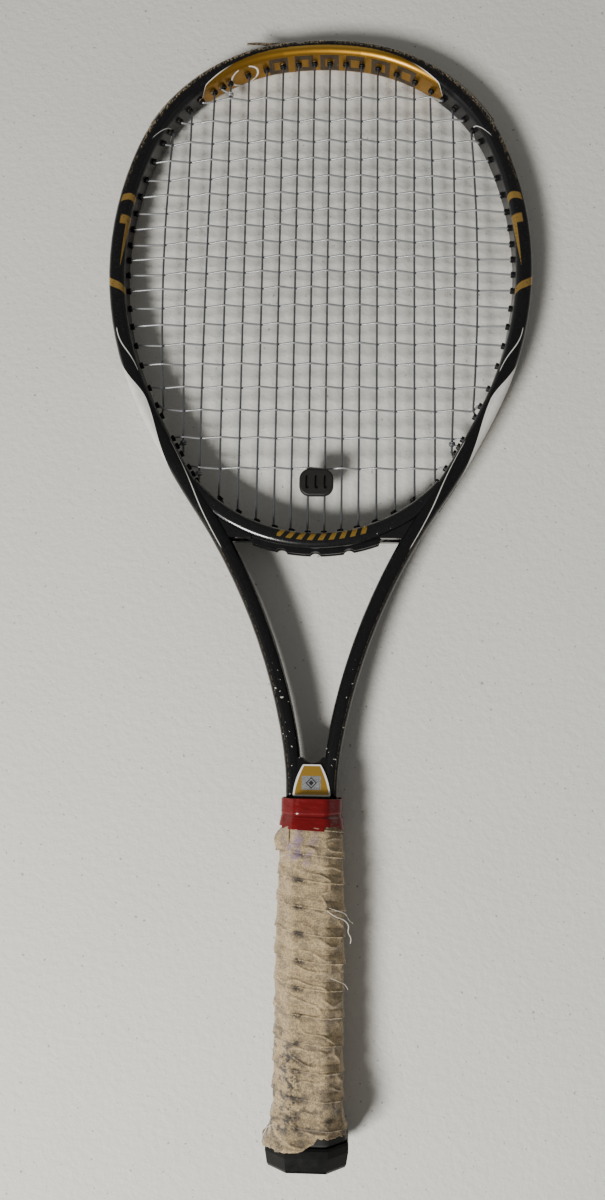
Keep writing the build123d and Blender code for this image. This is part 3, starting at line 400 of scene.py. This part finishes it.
def string_nylon(name, dark, light, along_x):
    f = Finish(name, Specular_IOR_Level=0.6, Coat_Weight=0.5, Coat_Roughness=0.15)
    stretch = (0.15, 1.0, 1.0) if along_x else (1.0, 0.15, 1.0)
    tint = f.noise(3.0, 4.0, stretch=stretch)
    x, y, z = f.split(f.place())
    twist = f.math("SINE", f.plus(f.times(x if along_x else y, 5.2), f.times(z, 3.0)))
    colour = f.mix(tint, dark, light)
    f.set("Base Color", f.mix(f.rise(twist, 0.3, 1.0, 0.0, 0.3), colour, (0.015, 0.015, 0.018)))
    f.set("Roughness", f.plus(0.26, f.times(0.2, tint)))
    f.set("Metallic", 0.25)
    f.bump(f.rise(twist, -1.0, 1.0), 0.03)
    return f


def rubber():
    f = Finish("dampener_rubber", Specular_IOR_Level=0.35)
    lint = f.rise(f.noise(0.9, 5.0, 0.8), 0.60, 0.72)
    base = f.mix(f.noise(6.0, 4.0), (0.006, 0.006, 0.0055), (0.016, 0.015, 0.013))
    f.set("Base Color", f.mix(f.times(lint, 0.25), base, (0.22, 0.20, 0.17)))
    f.set("Roughness", f.plus(0.52, f.times(0.25, lint)))
    f.bump(f.noise(0.5, 4.0), 0.04)
    return f


def badge_finish():
    f = Finish("badge_enamel", Coat_Weight=0.8, Coat_Roughness=0.08)
    x, y, z = f.split(f.place())
    foot, top = 200.6, 219.0
    share = f.math("MAXIMUM", f.times(f.minus(y, foot), 1 / (top - foot)), 0.0)
    width = f.minus(10.95, f.times(5.75, f.math("POWER", share, 1.55)))
    inside = f.math("MINIMUM", f.minus(y, foot), f.minus(top, y))
    inside = f.math("MINIMUM", f.minus(width, f.math("ABSOLUTE", x)), inside)
    gold = f.rise(inside, 0.8, 1.05)
    grit = f.rise(f.cells(0.45, "Color"), 0.3, 0.9)
    dx, dy = f.plus(x, 0.3), f.minus(y, 208.3)
    square = f.both(f.near(dx, 0.0, 5.6, 0.1), f.near(dy, 0.0, 3.95, 0.1))
    silver = f.mix(grit, (0.30, 0.31, 0.32), (0.55, 0.56, 0.57))
    diamond = f.plus(f.math("ABSOLUTE", dx), f.math("ABSOLUTE", dy))
    mark = f.either(f.rise(diamond, 1.5, 1.65, 1.0, 0.0), f.near(diamond, 2.9, 0.42, 0.08))
    colour = f.mix(gold, (0.70, 0.69, 0.66), (0.50, 0.29, 0.035))
    colour = f.mix(square, colour, silver)
    colour = f.mix(f.times(mark, square), colour, (0.012, 0.012, 0.014))
    scratch = f.rise(f.noise(1.2, 6.0, 0.8), 0.64, 0.72)
    f.set("Base Color", f.mix(f.times(scratch, 0.4), colour, (0.35, 0.33, 0.29)))
    f.set("Metallic", f.times(f.either(gold, square), 0.7, f.minus(1.0, mark)))
    f.set("Roughness", f.plus(0.25, f.times(0.3, scratch)))
    f.bump(f.noise(0.6, 3.0), 0.02)
    return f


def foam():
    f = Finish("handle_foam", Specular_IOR_Level=0.3)
    f.set("Base Color", f.mix(f.noise(8.0, 5.0), (0.50, 0.46, 0.36), (0.66, 0.62, 0.50)))
    f.set("Roughness", f.plus(0.6, f.times(0.2, f.noise(2.0, 4.0))))
    f.bump(f.minus(1.0, f.cells(0.8)), 0.12)
    return f


def bright_steel():
    f = Finish("staple_steel", Metallic=1.0)
    streak = f.noise(0.3, 4.0, stretch=(1.0, 0.1, 1.0))
    f.set("Base Color", f.mix(streak, (0.35, 0.34, 0.33), (0.62, 0.61, 0.59)))
    f.set("Roughness", f.plus(0.22, f.times(0.3, streak)))
    f.bump(streak, 0.01)
    return f


# --- noise and wrapped layers ------------------------------------------------------------------------------
def soft_noise(points, size, seed):
    """Smooth noise from -1 to 1 at an array of points, with lumps about size across."""
    table = np.random.RandomState(seed).uniform(-1, 1, 4096)
    p = points / size
    cell = np.floor(p).astype(np.int64)
    t = p - cell
    t = t * t * (3 - 2 * t)
    total = np.zeros(len(points))
    for corner in range(8):
        step = np.array([corner & 1, corner >> 1 & 1, corner >> 2 & 1])
        c = cell + step
        value = table[(c[:, 0] * 73856093 ^ c[:, 1] * 19349663 ^ c[:, 2] * 83492791) & 4095]
        weight = np.prod(np.where(step == 1, t, 1 - t), axis=1)
        total += value * weight
    return total


def layered_noise(points, size, seed, layers=4, fade=0.5):
    return sum(fade ** k * soft_noise(points, size / 2 ** k, seed + k) for k in range(layers))


FLATNESS, CUT = 0.885, 0.49


def octagon_ring(count, rounding=0.13):
    """Points round the handle's octagon with rounded corners, for a half width of 1, from +x towards +z."""
    corners = [(1, FLATNESS - CUT), (1 - CUT, FLATNESS)]
    upper = corners + [(-x, z) for x, z in corners[::-1]]
    ring = upper + [(-x, -z) for x, z in upper]
    ring = np.array(ring[-1:] + ring[:-1])
    fine = []
    for k in range(len(ring)):
        before, at, after = ring[k - 1], ring[k], ring[(k + 1) % len(ring)]
        into, away = before - at, after - at
        a = at + into / np.linalg.norm(into) * rounding
        b = at + away / np.linalg.norm(away) * rounding
        for s in np.linspace(0, 1, 9):
            fine.append((1 - s) ** 2 * a + 2 * s * (1 - s) * at + s * s * b)
    fine = np.array(fine + fine[:1])
    lengths = np.concatenate([[0], np.cumsum(np.linalg.norm(np.diff(fine, axis=0), axis=1))])
    want = np.linspace(0, lengths[-1], count, endpoint=False)
    points = np.stack([np.interp(want, lengths, fine[:, i]) for i in (0, 1)], axis=1)
    tangents = np.roll(points, -1, axis=0) - np.roll(points, 1, axis=0)
    normals = np.stack([tangents[:, 1], -tangents[:, 0]], axis=1)
    normals /= np.linalg.norm(normals, axis=1)[:, None]
    if np.mean(np.sum(normals * points, axis=1)) < 0:
        normals = -normals
    return points, normals


def new_piece(name, vertices, faces, smooth=True):
    mesh = bpy.data.meshes.new(name)
    mesh.from_pydata(vertices, [], faces)
    mesh.validate()
    if smooth:
        mesh.polygons.foreach_set("use_smooth", [True] * len(mesh.polygons))
    mesh.update()
    piece = bpy.data.objects.new(name, mesh)
    bpy.context.scene.collection.objects.link(piece)
    return piece


def sleeve(name, around, along, low_edge, high_edge, half_width, lift, thickness):
    """A closed tube of cloth or tape on the octagon. low_edge and high_edge give its ends for each share of
    the way round, half_width its size along the handle, and lift what stands out of that, all in mm."""
    ring, normals = octagon_ring(around)
    share = np.arange(around) / around
    low, high = low_edge(share, ring), high_edge(share, ring)
    rows = np.linspace(0, 1, along)
    y = low[None, :] + (high - low)[None, :] * rows[:, None]
    half = half_width(y)
    base = np.stack([half * ring[None, :, 0], y, half * ring[None, :, 1]], axis=2)
    normal = np.zeros_like(base)
    normal[:, :, 0], normal[:, :, 2] = normals[None, :, 0], normals[None, :, 1]
    rise = lift(base.reshape(-1, 3), np.tile(share, along), y.reshape(-1), ring).reshape(along, around)
    outer = base + normal * rise[:, :, None]
    inner = base + normal * np.minimum(rise - thickness, -thickness * 0.6)[:, :, None]
    vertices = np.concatenate([outer.reshape(-1, 3), inner.reshape(-1, 3)]) * MM
    faces, size = [], along * around
    for r in range(along - 1):
        for c in range(around):
            a, b = r * around + c, r * around + (c + 1) % around
            faces.append((a, b, b + around, a + around))
            faces.append((size + a, size + a + around, size + b + around, size + b))
    for c in range(around):
        d = (c + 1) % around
        faces.append((c, size + c, size + d, d))
        top = size - around
        faces.append((top + c, top + d, size + top + d, size + top + c))
    return new_piece(name, [tuple(v) for v in vertices], faces)


def thread(name, points, radius):
    """A thin fibre along a smooth line through points, in mm."""
    curve = bpy.data.curves.new(name, "CURVE")
    curve.dimensions = "3D"
    spline = curve.splines.new("NURBS")
    spline.points.add(len(points) - 1)
    for spot, p in zip(spline.points, points):
        spot.co = (*(Vector(p) * MM), 1.0)
    spline.order_u = 3
    spline.use_endpoint_u = True
    curve.bevel_depth = radius * MM
    curve.bevel_resolution = 1
    curve.use_fill_caps = True
    holder = bpy.data.objects.new(name, curve)
    mesh = bpy.data.meshes.new_from_object(holder)
    bpy.data.objects.remove(holder)
    mesh.polygons.foreach_set("use_smooth", [True] * len(mesh.polygons))
    piece = bpy.data.objects.new(name, mesh)
    bpy.context.scene.collection.objects.link(piece)
    return piece


# --- overgrip ----------------------------------------------------------------------------------------------
WRAP_PITCH = 14.6
GRIP_TOP_Y = 186.0


def wrap_phase(share, y):
    """0 at the exposed edge of a turn of the wrap, rising to 1 just above the next one."""
    return np.mod((y - 8.0) / WRAP_PITCH - share + 0.35, 1.0)


def overgrip_low(share, ring):
    # torn: lower on the left, ragged all round
    x = ring[:, 0]
    around = np.stack([ring[:, 0], np.zeros(len(ring)), ring[:, 1]], axis=1) * 20
    ragged = layered_noise(around, 6.0, 11, 4, 0.6)
    return 14.0 + 3.8 * np.tanh(x * 2.4) + 1.6 * ragged


def overgrip_half(y):
    return np.interp(y, [9, 12.4, 14.5, 17, 22, 29, 36, 92, 121, 150, 172, 181, 187],
                     [23.5, 23.5, 22.6, 21.4, 20.0, 19.2, 18.9, 18.9, 19.0, 18.4, 18.1, 17.0, 16.2])


def overgrip_lift(points, share, y, ring):
    phase = wrap_phase(share, y)
    lap = 0.75 * np.clip((0.34 - phase) / 0.34, 0, 1) ** 0.5 + 0.12 * (1 - phase)
    lip = 0.30 * np.exp(-((phase - 0.015) / 0.03) ** 2)
    skewed = points * np.array([1.0, 1.3, 1.0]) + np.array([0, 0.35, 0]) * points[:, [0]]
    creases = layered_noise(skewed, 13.0, 21, 4, 0.5)
    ridges = 1 - np.abs(layered_noise(skewed * np.array([0.7, 1.0, 0.7]), 11.0, 41, 2, 0.4))
    pucker = np.exp(-phase / 0.22) * layered_noise(points * np.array([1.2, 0.8, 1.2]), 7.0, 61, 2)
    fibre = layered_noise(points, 1.3, 81, 2)
    pinch = np.exp(-((points[:, 0] + 6.0) / 2.2) ** 2) * np.exp(-np.minimum(phase, 1 - phase) / 0.14)
    pinch = pinch * (points[:, 2] > 0)
    folds = 0.42 * creases + 0.45 * np.clip(ridges - 0.80, 0, 1) / 0.20 + 0.45 * pucker
    return 0.35 + lap + lip + folds + 0.05 * fibre - 0.5 * pinch


def overgrip_cloth():
    f = Finish("overgrip_felted", Specular_IOR_Level=0.2, Sheen_Weight=0.25, Sheen_Roughness=0.6)
    x, y, z = f.split(f.place())
    fibres = f.noise(0.8, 5.0, 0.75)
    cloud = f.noise(16.0, 5.0, 0.65)
    cream = f.mix(cloud, (0.64, 0.49, 0.27), (0.44, 0.315, 0.155))
    cream = f.mix(f.rise(fibres, 0.40, 0.64), f.mix(0.75, cream, (0.15, 0.11, 0.065)), cream)
    # grey dirt in patches and folds, heavier near the butt and down the left
    smear = f.noise(7.0, 6.0, 0.72, stretch=(1.0, 1.4, 1.0))
    left_foot = f.both(f.rise(x, 8.0, -12.0), f.between(y, 14.0, 75.0, 9.0))
    zone = f.either(left_foot, f.times(0.75, f.rise(y, 130.0, 20.0)), 0.45)
    dirt = f.times(f.rise(smear, 0.44, 0.60), zone)
    colour = f.mix(f.times(dirt, 0.95), cream, (0.045, 0.041, 0.038))
    # where the wrap's edges lie: painted shade, darkening up to each edge where one turn steps onto the next
    turn = f.times(f.math("ARCTAN2", z, x), 1 / (2 * pi))
    turns = f.minus(f.math("DIVIDE", f.minus(y, 8.0), WRAP_PITCH), turn)
    phase = f.math("FRACT", f.plus(turns, 10.29))
    wrap_edge_shade = f.either(f.rise(phase, 0.80, 1.0), f.rise(phase, 0.03, 0.0))
    wrap_edge_shade = f.times(wrap_edge_shade, f.rise(f.noise(5.0, 4.0), 0.35, 0.65))
    colour = f.mix(f.times(wrap_edge_shade, 0.8), colour, (0.10, 0.078, 0.055))
    # painted shade: black in the creases where each turn is pinched, in a line left of the middle, and a
    # noise-broken dark patch low on the upper face, left of the middle
    upper_face = f.rise(z, 0.0, 3.0)
    line_x = f.plus(x, f.times(8.0, f.minus(f.noise(9.0, 3.0), 0.5)))
    by_seam = f.either(f.rise(phase, 0.78, 0.98), f.rise(phase, 0.20, 0.04))
    crease_shade_and_patch = f.both(f.near(line_x, -6.0, 3.2, 2.6), upper_face, by_seam,
                     f.rise(f.noise(2.4, 5.0, 0.7), 0.40, 0.49))
    dark_patch = f.both(f.near(x, -8.5, 4.5, 4.0), f.between(y, 20.0, 60.0, 7.0), upper_face,
                    f.rise(f.noise(4.5, 6.0, 0.72), 0.46, 0.58))
    crease_shade_and_patch = f.either(crease_shade_and_patch, dark_patch)
    colour = f.mix(f.times(crease_shade_and_patch, 0.92), colour, (0.02, 0.018, 0.017))
    # ink near the top and pink marks
    facing = f.rise(z, 0.0, 2.0)
    ink = f.both(f.between(y, 163.0, 181.0, 5.0), f.between(x, -14.0, 2.0, 5.0), facing,
                 f.rise(f.noise(6.0, 5.0, 0.7), 0.45, 0.62))
    colour = f.mix(f.times(ink, 0.55), colour, (0.21, 0.13, 0.30))
    pink = f.both(f.rise(f.noise(3.4, 4.0, 0.6, stretch=(1.0, 0.6, 1.0)), 0.66, 0.72),
                  f.between(y, 90.0, 178.0, 10.0), facing)
    colour = f.mix(f.times(pink, 0.5), colour, (0.42, 0.10, 0.08))
    hair = f.rise(f.noise(1.5, 6.0, 0.8), 0.66, 0.71)
    colour = f.mix(f.times(hair, 0.5), colour, (0.10, 0.085, 0.07))
    f.set("Base Color", colour)
    f.set("Roughness", f.plus(0.72, f.times(0.2, fibres)))
    f.bump(fibres, 0.16)
    f.bump(f.noise(0.28, 3.0, 0.7), 0.06)
    f.bump(f.noise(3.5, 4.0, 0.55), 0.20)
    return f


# --- finishing tape ----------------------------------------------------------------------------------------
def tape_low(share, ring):
    # the tape's last end hangs lower on the upper face, right of the middle
    x, z = ring[:, 0], ring[:, 1]
    step = np.where((z > 0.5) & (x < 0.42), -2.6, 0.0) + np.where(z <= 0.5, -1.2, 0.0)
    return 184.2 + step - 0.9 * x


def tape_high(share, ring):
    around = np.stack([ring[:, 0], np.zeros(len(ring)), ring[:, 1]], axis=1) * 17
    return 199.5 + 0.25 * layered_noise(around, 9.0, 5, 2)


def tape_lift(points, share, y, ring):
    along = np.array([0.35, 1.0, 0.35])
    folds = layered_noise(points * along, 3.4, 131, 3, 0.5)
    band = 0.16 * np.tanh((y - 191.2 - 0.5 * soft_noise(points, 12.0, 7)) / 0.35)
    crease = 0.22 * np.exp(-((y - 188.6 + 0.03 * points[:, 0]) / 0.5) ** 2)
    return 0.42 + band + crease + 0.14 * folds


def tape_half(y):
    return np.interp(y, [181, 184, 187.4, 189.5, 199.6], [18.9, 18.6, 18.0, 17.3, 17.1])


def vinyl():
    f = Finish("red_vinyl", Specular_IOR_Level=0.35, Coat_Weight=0.15, Coat_Roughness=0.2)
    tone = f.noise(5.0, 4.0)
    colour = f.mix(tone, (0.080, 0.0015, 0.002), (0.155, 0.003, 0.004))
    white = f.rise(f.noise(2.0, 6.0, 0.8, stretch=(0.4, 1.0, 0.4)), 0.64, 0.72)
    f.set("Base Color", f.mix(f.times(white, 0.2), colour, (0.55, 0.18, 0.15)))
    f.set("Roughness", f.plus(0.27, f.times(0.25, white)))
    f.bump(f.noise(3.0, 4.0, 0.6, stretch=(0.35, 1.0, 0.35)), 0.25)
    f.bump(f.noise(0.5, 3.0), 0.02)
    return f


# --- build -------------------------------------------------------------------------------------------------
def level(y):
    """A square end of a sleeve at one height."""
    return lambda share, ring: np.full(len(share), y)


def base_grip_half(y):
    return np.interp(y, [13.8, 29, 120, 186, 198.4], [22.2, 18.3, 18.3, 16.95, 16.85])


def base_grip_lift(points, share, y, ring):
    # a shallow groove where the turns of the base grip meet
    return -0.25 * np.exp(-((wrap_phase(share, y * 0.6) - 0.5) / 0.05) ** 2)


def build_handle():
    cloth = overgrip_cloth()
    grip = sleeve("overgrip_wrap", 300, 520, overgrip_low, level(GRIP_TOP_Y), overgrip_half,
                  overgrip_lift, 0.5)
    cloth.give(grip)
    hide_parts("overgrip")
    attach(grip, "racket")
    tape = sleeve("finishing_tape_wrap", 300, 80, tape_low, tape_high, tape_half, tape_lift, 0.22)
    vinyl().give(tape)
    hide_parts("finishing_tape")
    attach(tape, "racket")
    under = sleeve("base_grip_wrap", 160, 190, level(14.0), level(198.3), base_grip_half, base_grip_lift, 1.0)
    moulded_plastic("base_grip_leather", (0.018, 0.018, 0.018), (0.04, 0.04, 0.038), 0.55, 0.9).give(under)
    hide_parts("base_grip")
    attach(under, "racket")
    return cloth


def build_threads():
    fibres = Finish("loose_thread", Roughness=0.8, Sheen_Weight=0.2)
    fibres.set("Base Color", fibres.mix(fibres.noise(1.0, 3.0), (0.72, 0.68, 0.60), (0.50, 0.44, 0.34)))
    fibres.bump(fibres.noise(0.2, 2.0), 0.02)
    lines = [
        [(10, 138, 18.5), (14, 135, 19.0), (19.5, 133, 15.0), (22.5, 129, 11.5), (21.5, 125, 9.5),
         (24.0, 121.5, 8.0), (23.2, 118.5, 7.0)],
        [(11, 139.5, 18.4), (16, 138, 18.6), (20.5, 136, 14.0), (22.0, 132, 11.0), (24.5, 130, 9.0)],
        [(12, 102, 18.6), (17, 100, 18.4), (20.8, 97.5, 13.0), (22.0, 94.0, 10.0)],
        [(-18, 24, 17.0), (-21.5, 22, 13.0), (-23.0, 18.5, 11.5), (-24.2, 16.0, 10.5)],
        [(-14, 168, 17.6), (-18.5, 167, 15.5), (-21.5, 164, 12.0), (-22.5, 160, 10.0)],
    ]
    for number, points in enumerate(lines):
        piece = thread(f"loose_thread_{number}", points, 0.16 if number else 0.26)
        fibres.give(piece)
        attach(piece, "racket")


BRIDGE_CENTRE, BRIDGE_STUB_RADIUS = Vector((0.0, 456.1, 0.0)), 97.4
STUB_OUT = -6.3


def reach_inside(point, throat):
    """How far a point in mm lies towards the middle of the strings, and the unit vector that way."""
    if throat:
        away = BRIDGE_CENTRE - point
        away.z = 0.0
        return away.length - BRIDGE_STUB_RADIUS, away.normalized()
    side = -1 if point.x < 0 else 1
    for cx, cy, radius, first, last, run in BENDS[:4]:
        dx, dy = side * point.x - cx, point.y - cy
        heading = degrees(atan2(dx, dy))
        if first - 0.01 <= heading <= last + 0.01:
            out = sqrt(dx * dx + dy * dy) - radius
            return out - STUB_OUT, Vector((-side * dx, -dy, 0)).normalized()
    return 1.0, Vector((0, 0, 0))


def build_collars(plastic):
    """The thick ends of the grommets, one on every barrel of the CAD's strips."""
    inner_radius, outer_radius, sides = 0.95, 2.0, 20
    profile = [(inner_radius, -0.6), (outer_radius, -0.6), (outer_radius, 0.75),
               (outer_radius - 0.25, 1.0), (inner_radius, 1.0)]
    vertices, faces = [], []
    for name, node in NODES.items():
        if not (name.endswith("grommet_strip") or name == "bumper_guard"):
            continue
        throat, rims = name.startswith("throat"), []
        for vertex in node.data.vertices:
            at = node.matrix_world @ vertex.co / MM
            if reach_inside(at, throat)[0] > 0.08:
                continue
            for rim in rims:
                if (rim[0] - at).length < 3.7:
                    rim.append(at)
                    break
            else:
                rims.append([at])
        for rim in rims:
            middle = sum(rim, Vector((0, 0, 0))) / len(rim)
            middle.z = 0.0
            towards = reach_inside(middle, throat)[1]
            across = Vector((-towards.y, towards.x, 0))
            first = len(vertices)
            for radius, along in profile:
                for k in range(sides):
                    a = 2 * pi * k / sides
                    ring_point = across * radius * cos(a) + Vector((0, 0, radius * sin(a)))
                    vertices.append(tuple((middle + towards * along + ring_point) * MM))
            rows = len(profile)
            for r in range(rows):
                for k in range(sides):
                    n, after = (k + 1) % sides, (r + 1) % rows
                    a, b = first + r * sides, first + after * sides
                    faces.append((a + k, a + n, b + n, b + k))
    piece = new_piece("grommet_ends", vertices, faces, smooth=False)
    plastic.give(piece)
    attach(piece, "racket")


def build_flap(cloth):
    """A loose corner of the overgrip on the left, below the tape."""
    columns, rows = 14, 18
    front, back, faces = [], [], []
    for r in range(rows):
        v = r / (rows - 1)
        for c in range(columns):
            u = c / (columns - 1)
            y = 184.0 - 13.0 * v - 1.6 * u
            x = -12.6 - (9.2 + 1.3 * sin(5.0 * v)) * u ** 0.9 * (1.0 - 0.45 * (1.0 - v) ** 2)
            z = 13.6 - 6.6 * u ** 1.2 + 0.5 * sin(6.0 * v + 4.0 * u) * u
            front.append((x * MM, y * MM, z * MM))
            back.append(((x + 0.3) * MM, y * MM, (z - 0.6) * MM))
    count = len(front)
    for r in range(rows - 1):
        for c in range(columns - 1):
            a, b = r * columns + c, (r + 1) * columns + c
            faces.append((a, b, b + 1, a + 1))
            faces.append((count + a, count + a + 1, count + b + 1, count + b))
    rim = [c for c in range(columns)] + [r * columns + columns - 1 for r in range(1, rows)]
    rim += [(rows - 1) * columns + c for c in range(columns - 2, -1, -1)]
    rim += [r * columns for r in range(rows - 2, 0, -1)]
    for a, b in zip(rim, rim[1:] + rim[:1]):
        faces.append((a, b, count + b, count + a))
    piece = new_piece("overgrip_loose_corner", front + back, faces)
    cloth.give(piece)
    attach(piece, "racket")


def build_peel(finish):
    """The split left end of the bumper guard: two thin prongs that have sprung away from the hoop."""
    count, across = 26, 5
    for prong, (middle_z, spring, last) in enumerate([(4.6, 6.6, -18.6), (-0.6, 5.2, -17.6)]):
        vertices, faces = [], []
        for k in range(count):
            s = k / (count - 1)
            heading = -7.0 + (last + 7.0) * s
            base = on_hoop(heading, 6.05, 0) / MM
            normal = Vector((sin(radians(heading)), cos(radians(heading)), 0))
            away = spring * s ** 1.4 + 0.2 * sin(11 * s + prong)
            thick = 0.9 - 0.35 * s
            for face in (1, -1):
                for j in range(across):
                    t = j / (across - 1) * 2 - 1
                    lean = Vector((0, 0, middle_z + (1.25 - 0.5 * s) * t))
                    vertices.append(tuple((base + normal * (away + face * thick / 2) + lean) * MM))
        row = 2 * across
        for k in range(count - 1):
            a, b = k * row, (k + 1) * row
            for j in range(across - 1):
                faces.append((a + j, a + j + 1, b + j + 1, b + j))
                faces.append((a + across + j, b + across + j, b + across + j + 1, a + across + j + 1))
            faces.append((a, b, b + across, a + across))
            faces.append((a + across - 1, a + row - 1, b + row - 1, b + across - 1))
        for start in (0, (count - 1) * row):
            for j in range(across - 1):
                quad = (start + j, start + across + j, start + across + j + 1, start + j + 1)
                faces.append(quad if start == 0 else quad[::-1])
        piece = new_piece(f"bumper_peeled_end_{prong}", vertices, faces)
        finish.give(piece)
        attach(piece, "racket")


def build_stage():
    """A pale table that the racket lies on, touching the butt cap and the underside of the head."""
    cap_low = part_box("butt_cap")[0].z
    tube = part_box("frame_tube")
    slope = atan2(tube[0].z - cap_low, tube[1].y - 0.008)
    mesh = bpy.data.meshes.new("table")
    builder = bmesh.new()
    bmesh.ops.create_grid(builder, x_segments=8, y_segments=8, size=3.0)
    builder.to_mesh(mesh)
    builder.free()
    table = bpy.data.objects.new("table", mesh)
    bpy.context.scene.collection.objects.link(table)
    table.rotation_euler = (slope, 0, 0)
    table.location = (0, 0.008, cap_low - 0.0004)
    f = Finish("table_top", Specular_IOR_Level=0.3)
    cloud = f.noise(90.0, 3.0)
    speck = f.rise(f.noise(2.6, 2.0, 0.4), 0.71, 0.735)
    base = f.mix(cloud, (0.65, 0.635, 0.585), (0.71, 0.695, 0.645))
    f.set("Base Color", f.mix(f.times(speck, 0.6), base, (0.20, 0.19, 0.18)))
    f.set("Roughness", 0.62)
    f.bump(f.noise(4.5, 4.0, 0.6), 0.55)
    f.give(table)


def area_light(name, location, target, size, power, colour=(1.0, 1.0, 1.0)):
    lamp = bpy.data.lights.new(name, "AREA")
    lamp.shape = "RECTANGLE"
    lamp.size, lamp.size_y = size
    lamp.energy = power
    lamp.color = colour
    holder = bpy.data.objects.new(name, lamp)
    bpy.context.scene.collection.objects.link(holder)
    holder.location = location
    aim = Vector(target) - Vector(location)
    holder.rotation_euler = aim.to_track_quat("-Z", "Y").to_euler()


def build_light():
    world = bpy.data.worlds.new("soft_room")
    bpy.context.scene.world = world
    world.use_nodes = True
    back = world.node_tree.nodes["Background"]
    back.inputs[0].default_value = (1.0, 0.99, 0.965, 1.0)
    back.inputs[1].default_value = 0.19
    area_light("window", (-0.95, -0.95, 1.35), (0, 0.35, 0), (0.6, 0.5), 76.0, (1.0, 0.985, 0.96))


def build_camera():
    data = bpy.data.cameras.new("camera")
    data.lens = 30.0
    data.sensor_width = 36.0
    data.clip_start = 0.01
    camera = bpy.data.objects.new("camera", data)
    bpy.context.scene.collection.objects.link(camera)
    camera.location = (0.0154865, 0.2296436, 0.5998355)
    turn = Vector((0.14489, 0.03701, 0.01328))
    camera.rotation_euler = Matrix.Rotation(turn.length, 3, turn.normalized()).to_euler()
    bpy.context.scene.camera = camera


def finish_nodes():
    for name, node in NODES.items():
        node.data.polygons.foreach_set("use_smooth", [True] * len(node.data.polygons))
    bumper = bumper_plastic()
    grommet = moulded_plastic("grommet_plastic", (0.004, 0.004, 0.004), (0.010, 0.010, 0.0105), 0.42)
    cap = moulded_plastic("cap_plastic", (0.0015, 0.0015, 0.0015), (0.004, 0.004, 0.0038), 0.34, 0.9, 0.03)
    finishes = {
        frame_paint(): ["frame_tube", "throat_web"],
        bridge_paint(456.1, 103.5): ["throat_bridge"],
        bumper: ["bumper_guard"],
        grommet: [n for n in NODES if n.endswith("grommet_strip")],
        string_nylon("main_nylon", (0.045, 0.05, 0.058), (0.10, 0.105, 0.115), False): ["main_string"],
        string_nylon("cross_nylon", (0.16, 0.165, 0.17), (0.36, 0.365, 0.37), True): ["cross_string"],
        rubber(): ["vibration_dampener"],
        badge_finish(): ["throat_badge"],
        foam(): ["upper_pallet", "lower_pallet", "tube_end_plugs"],
        cap: ["butt_cap", "butt_door"],
        bright_steel(): ["cap_staples", "grip_tack"],
    }
    for finish, names in finishes.items():
        finish.give(*[NODES[n] for n in names])
    return bumper, grommet


build_camera()
bumper_finish, grommet_finish = finish_nodes()
grip_cloth = build_handle()
build_threads()
build_flap(grip_cloth)
build_collars(grommet_finish)
build_peel(bumper_finish)
build_stage()
build_light()
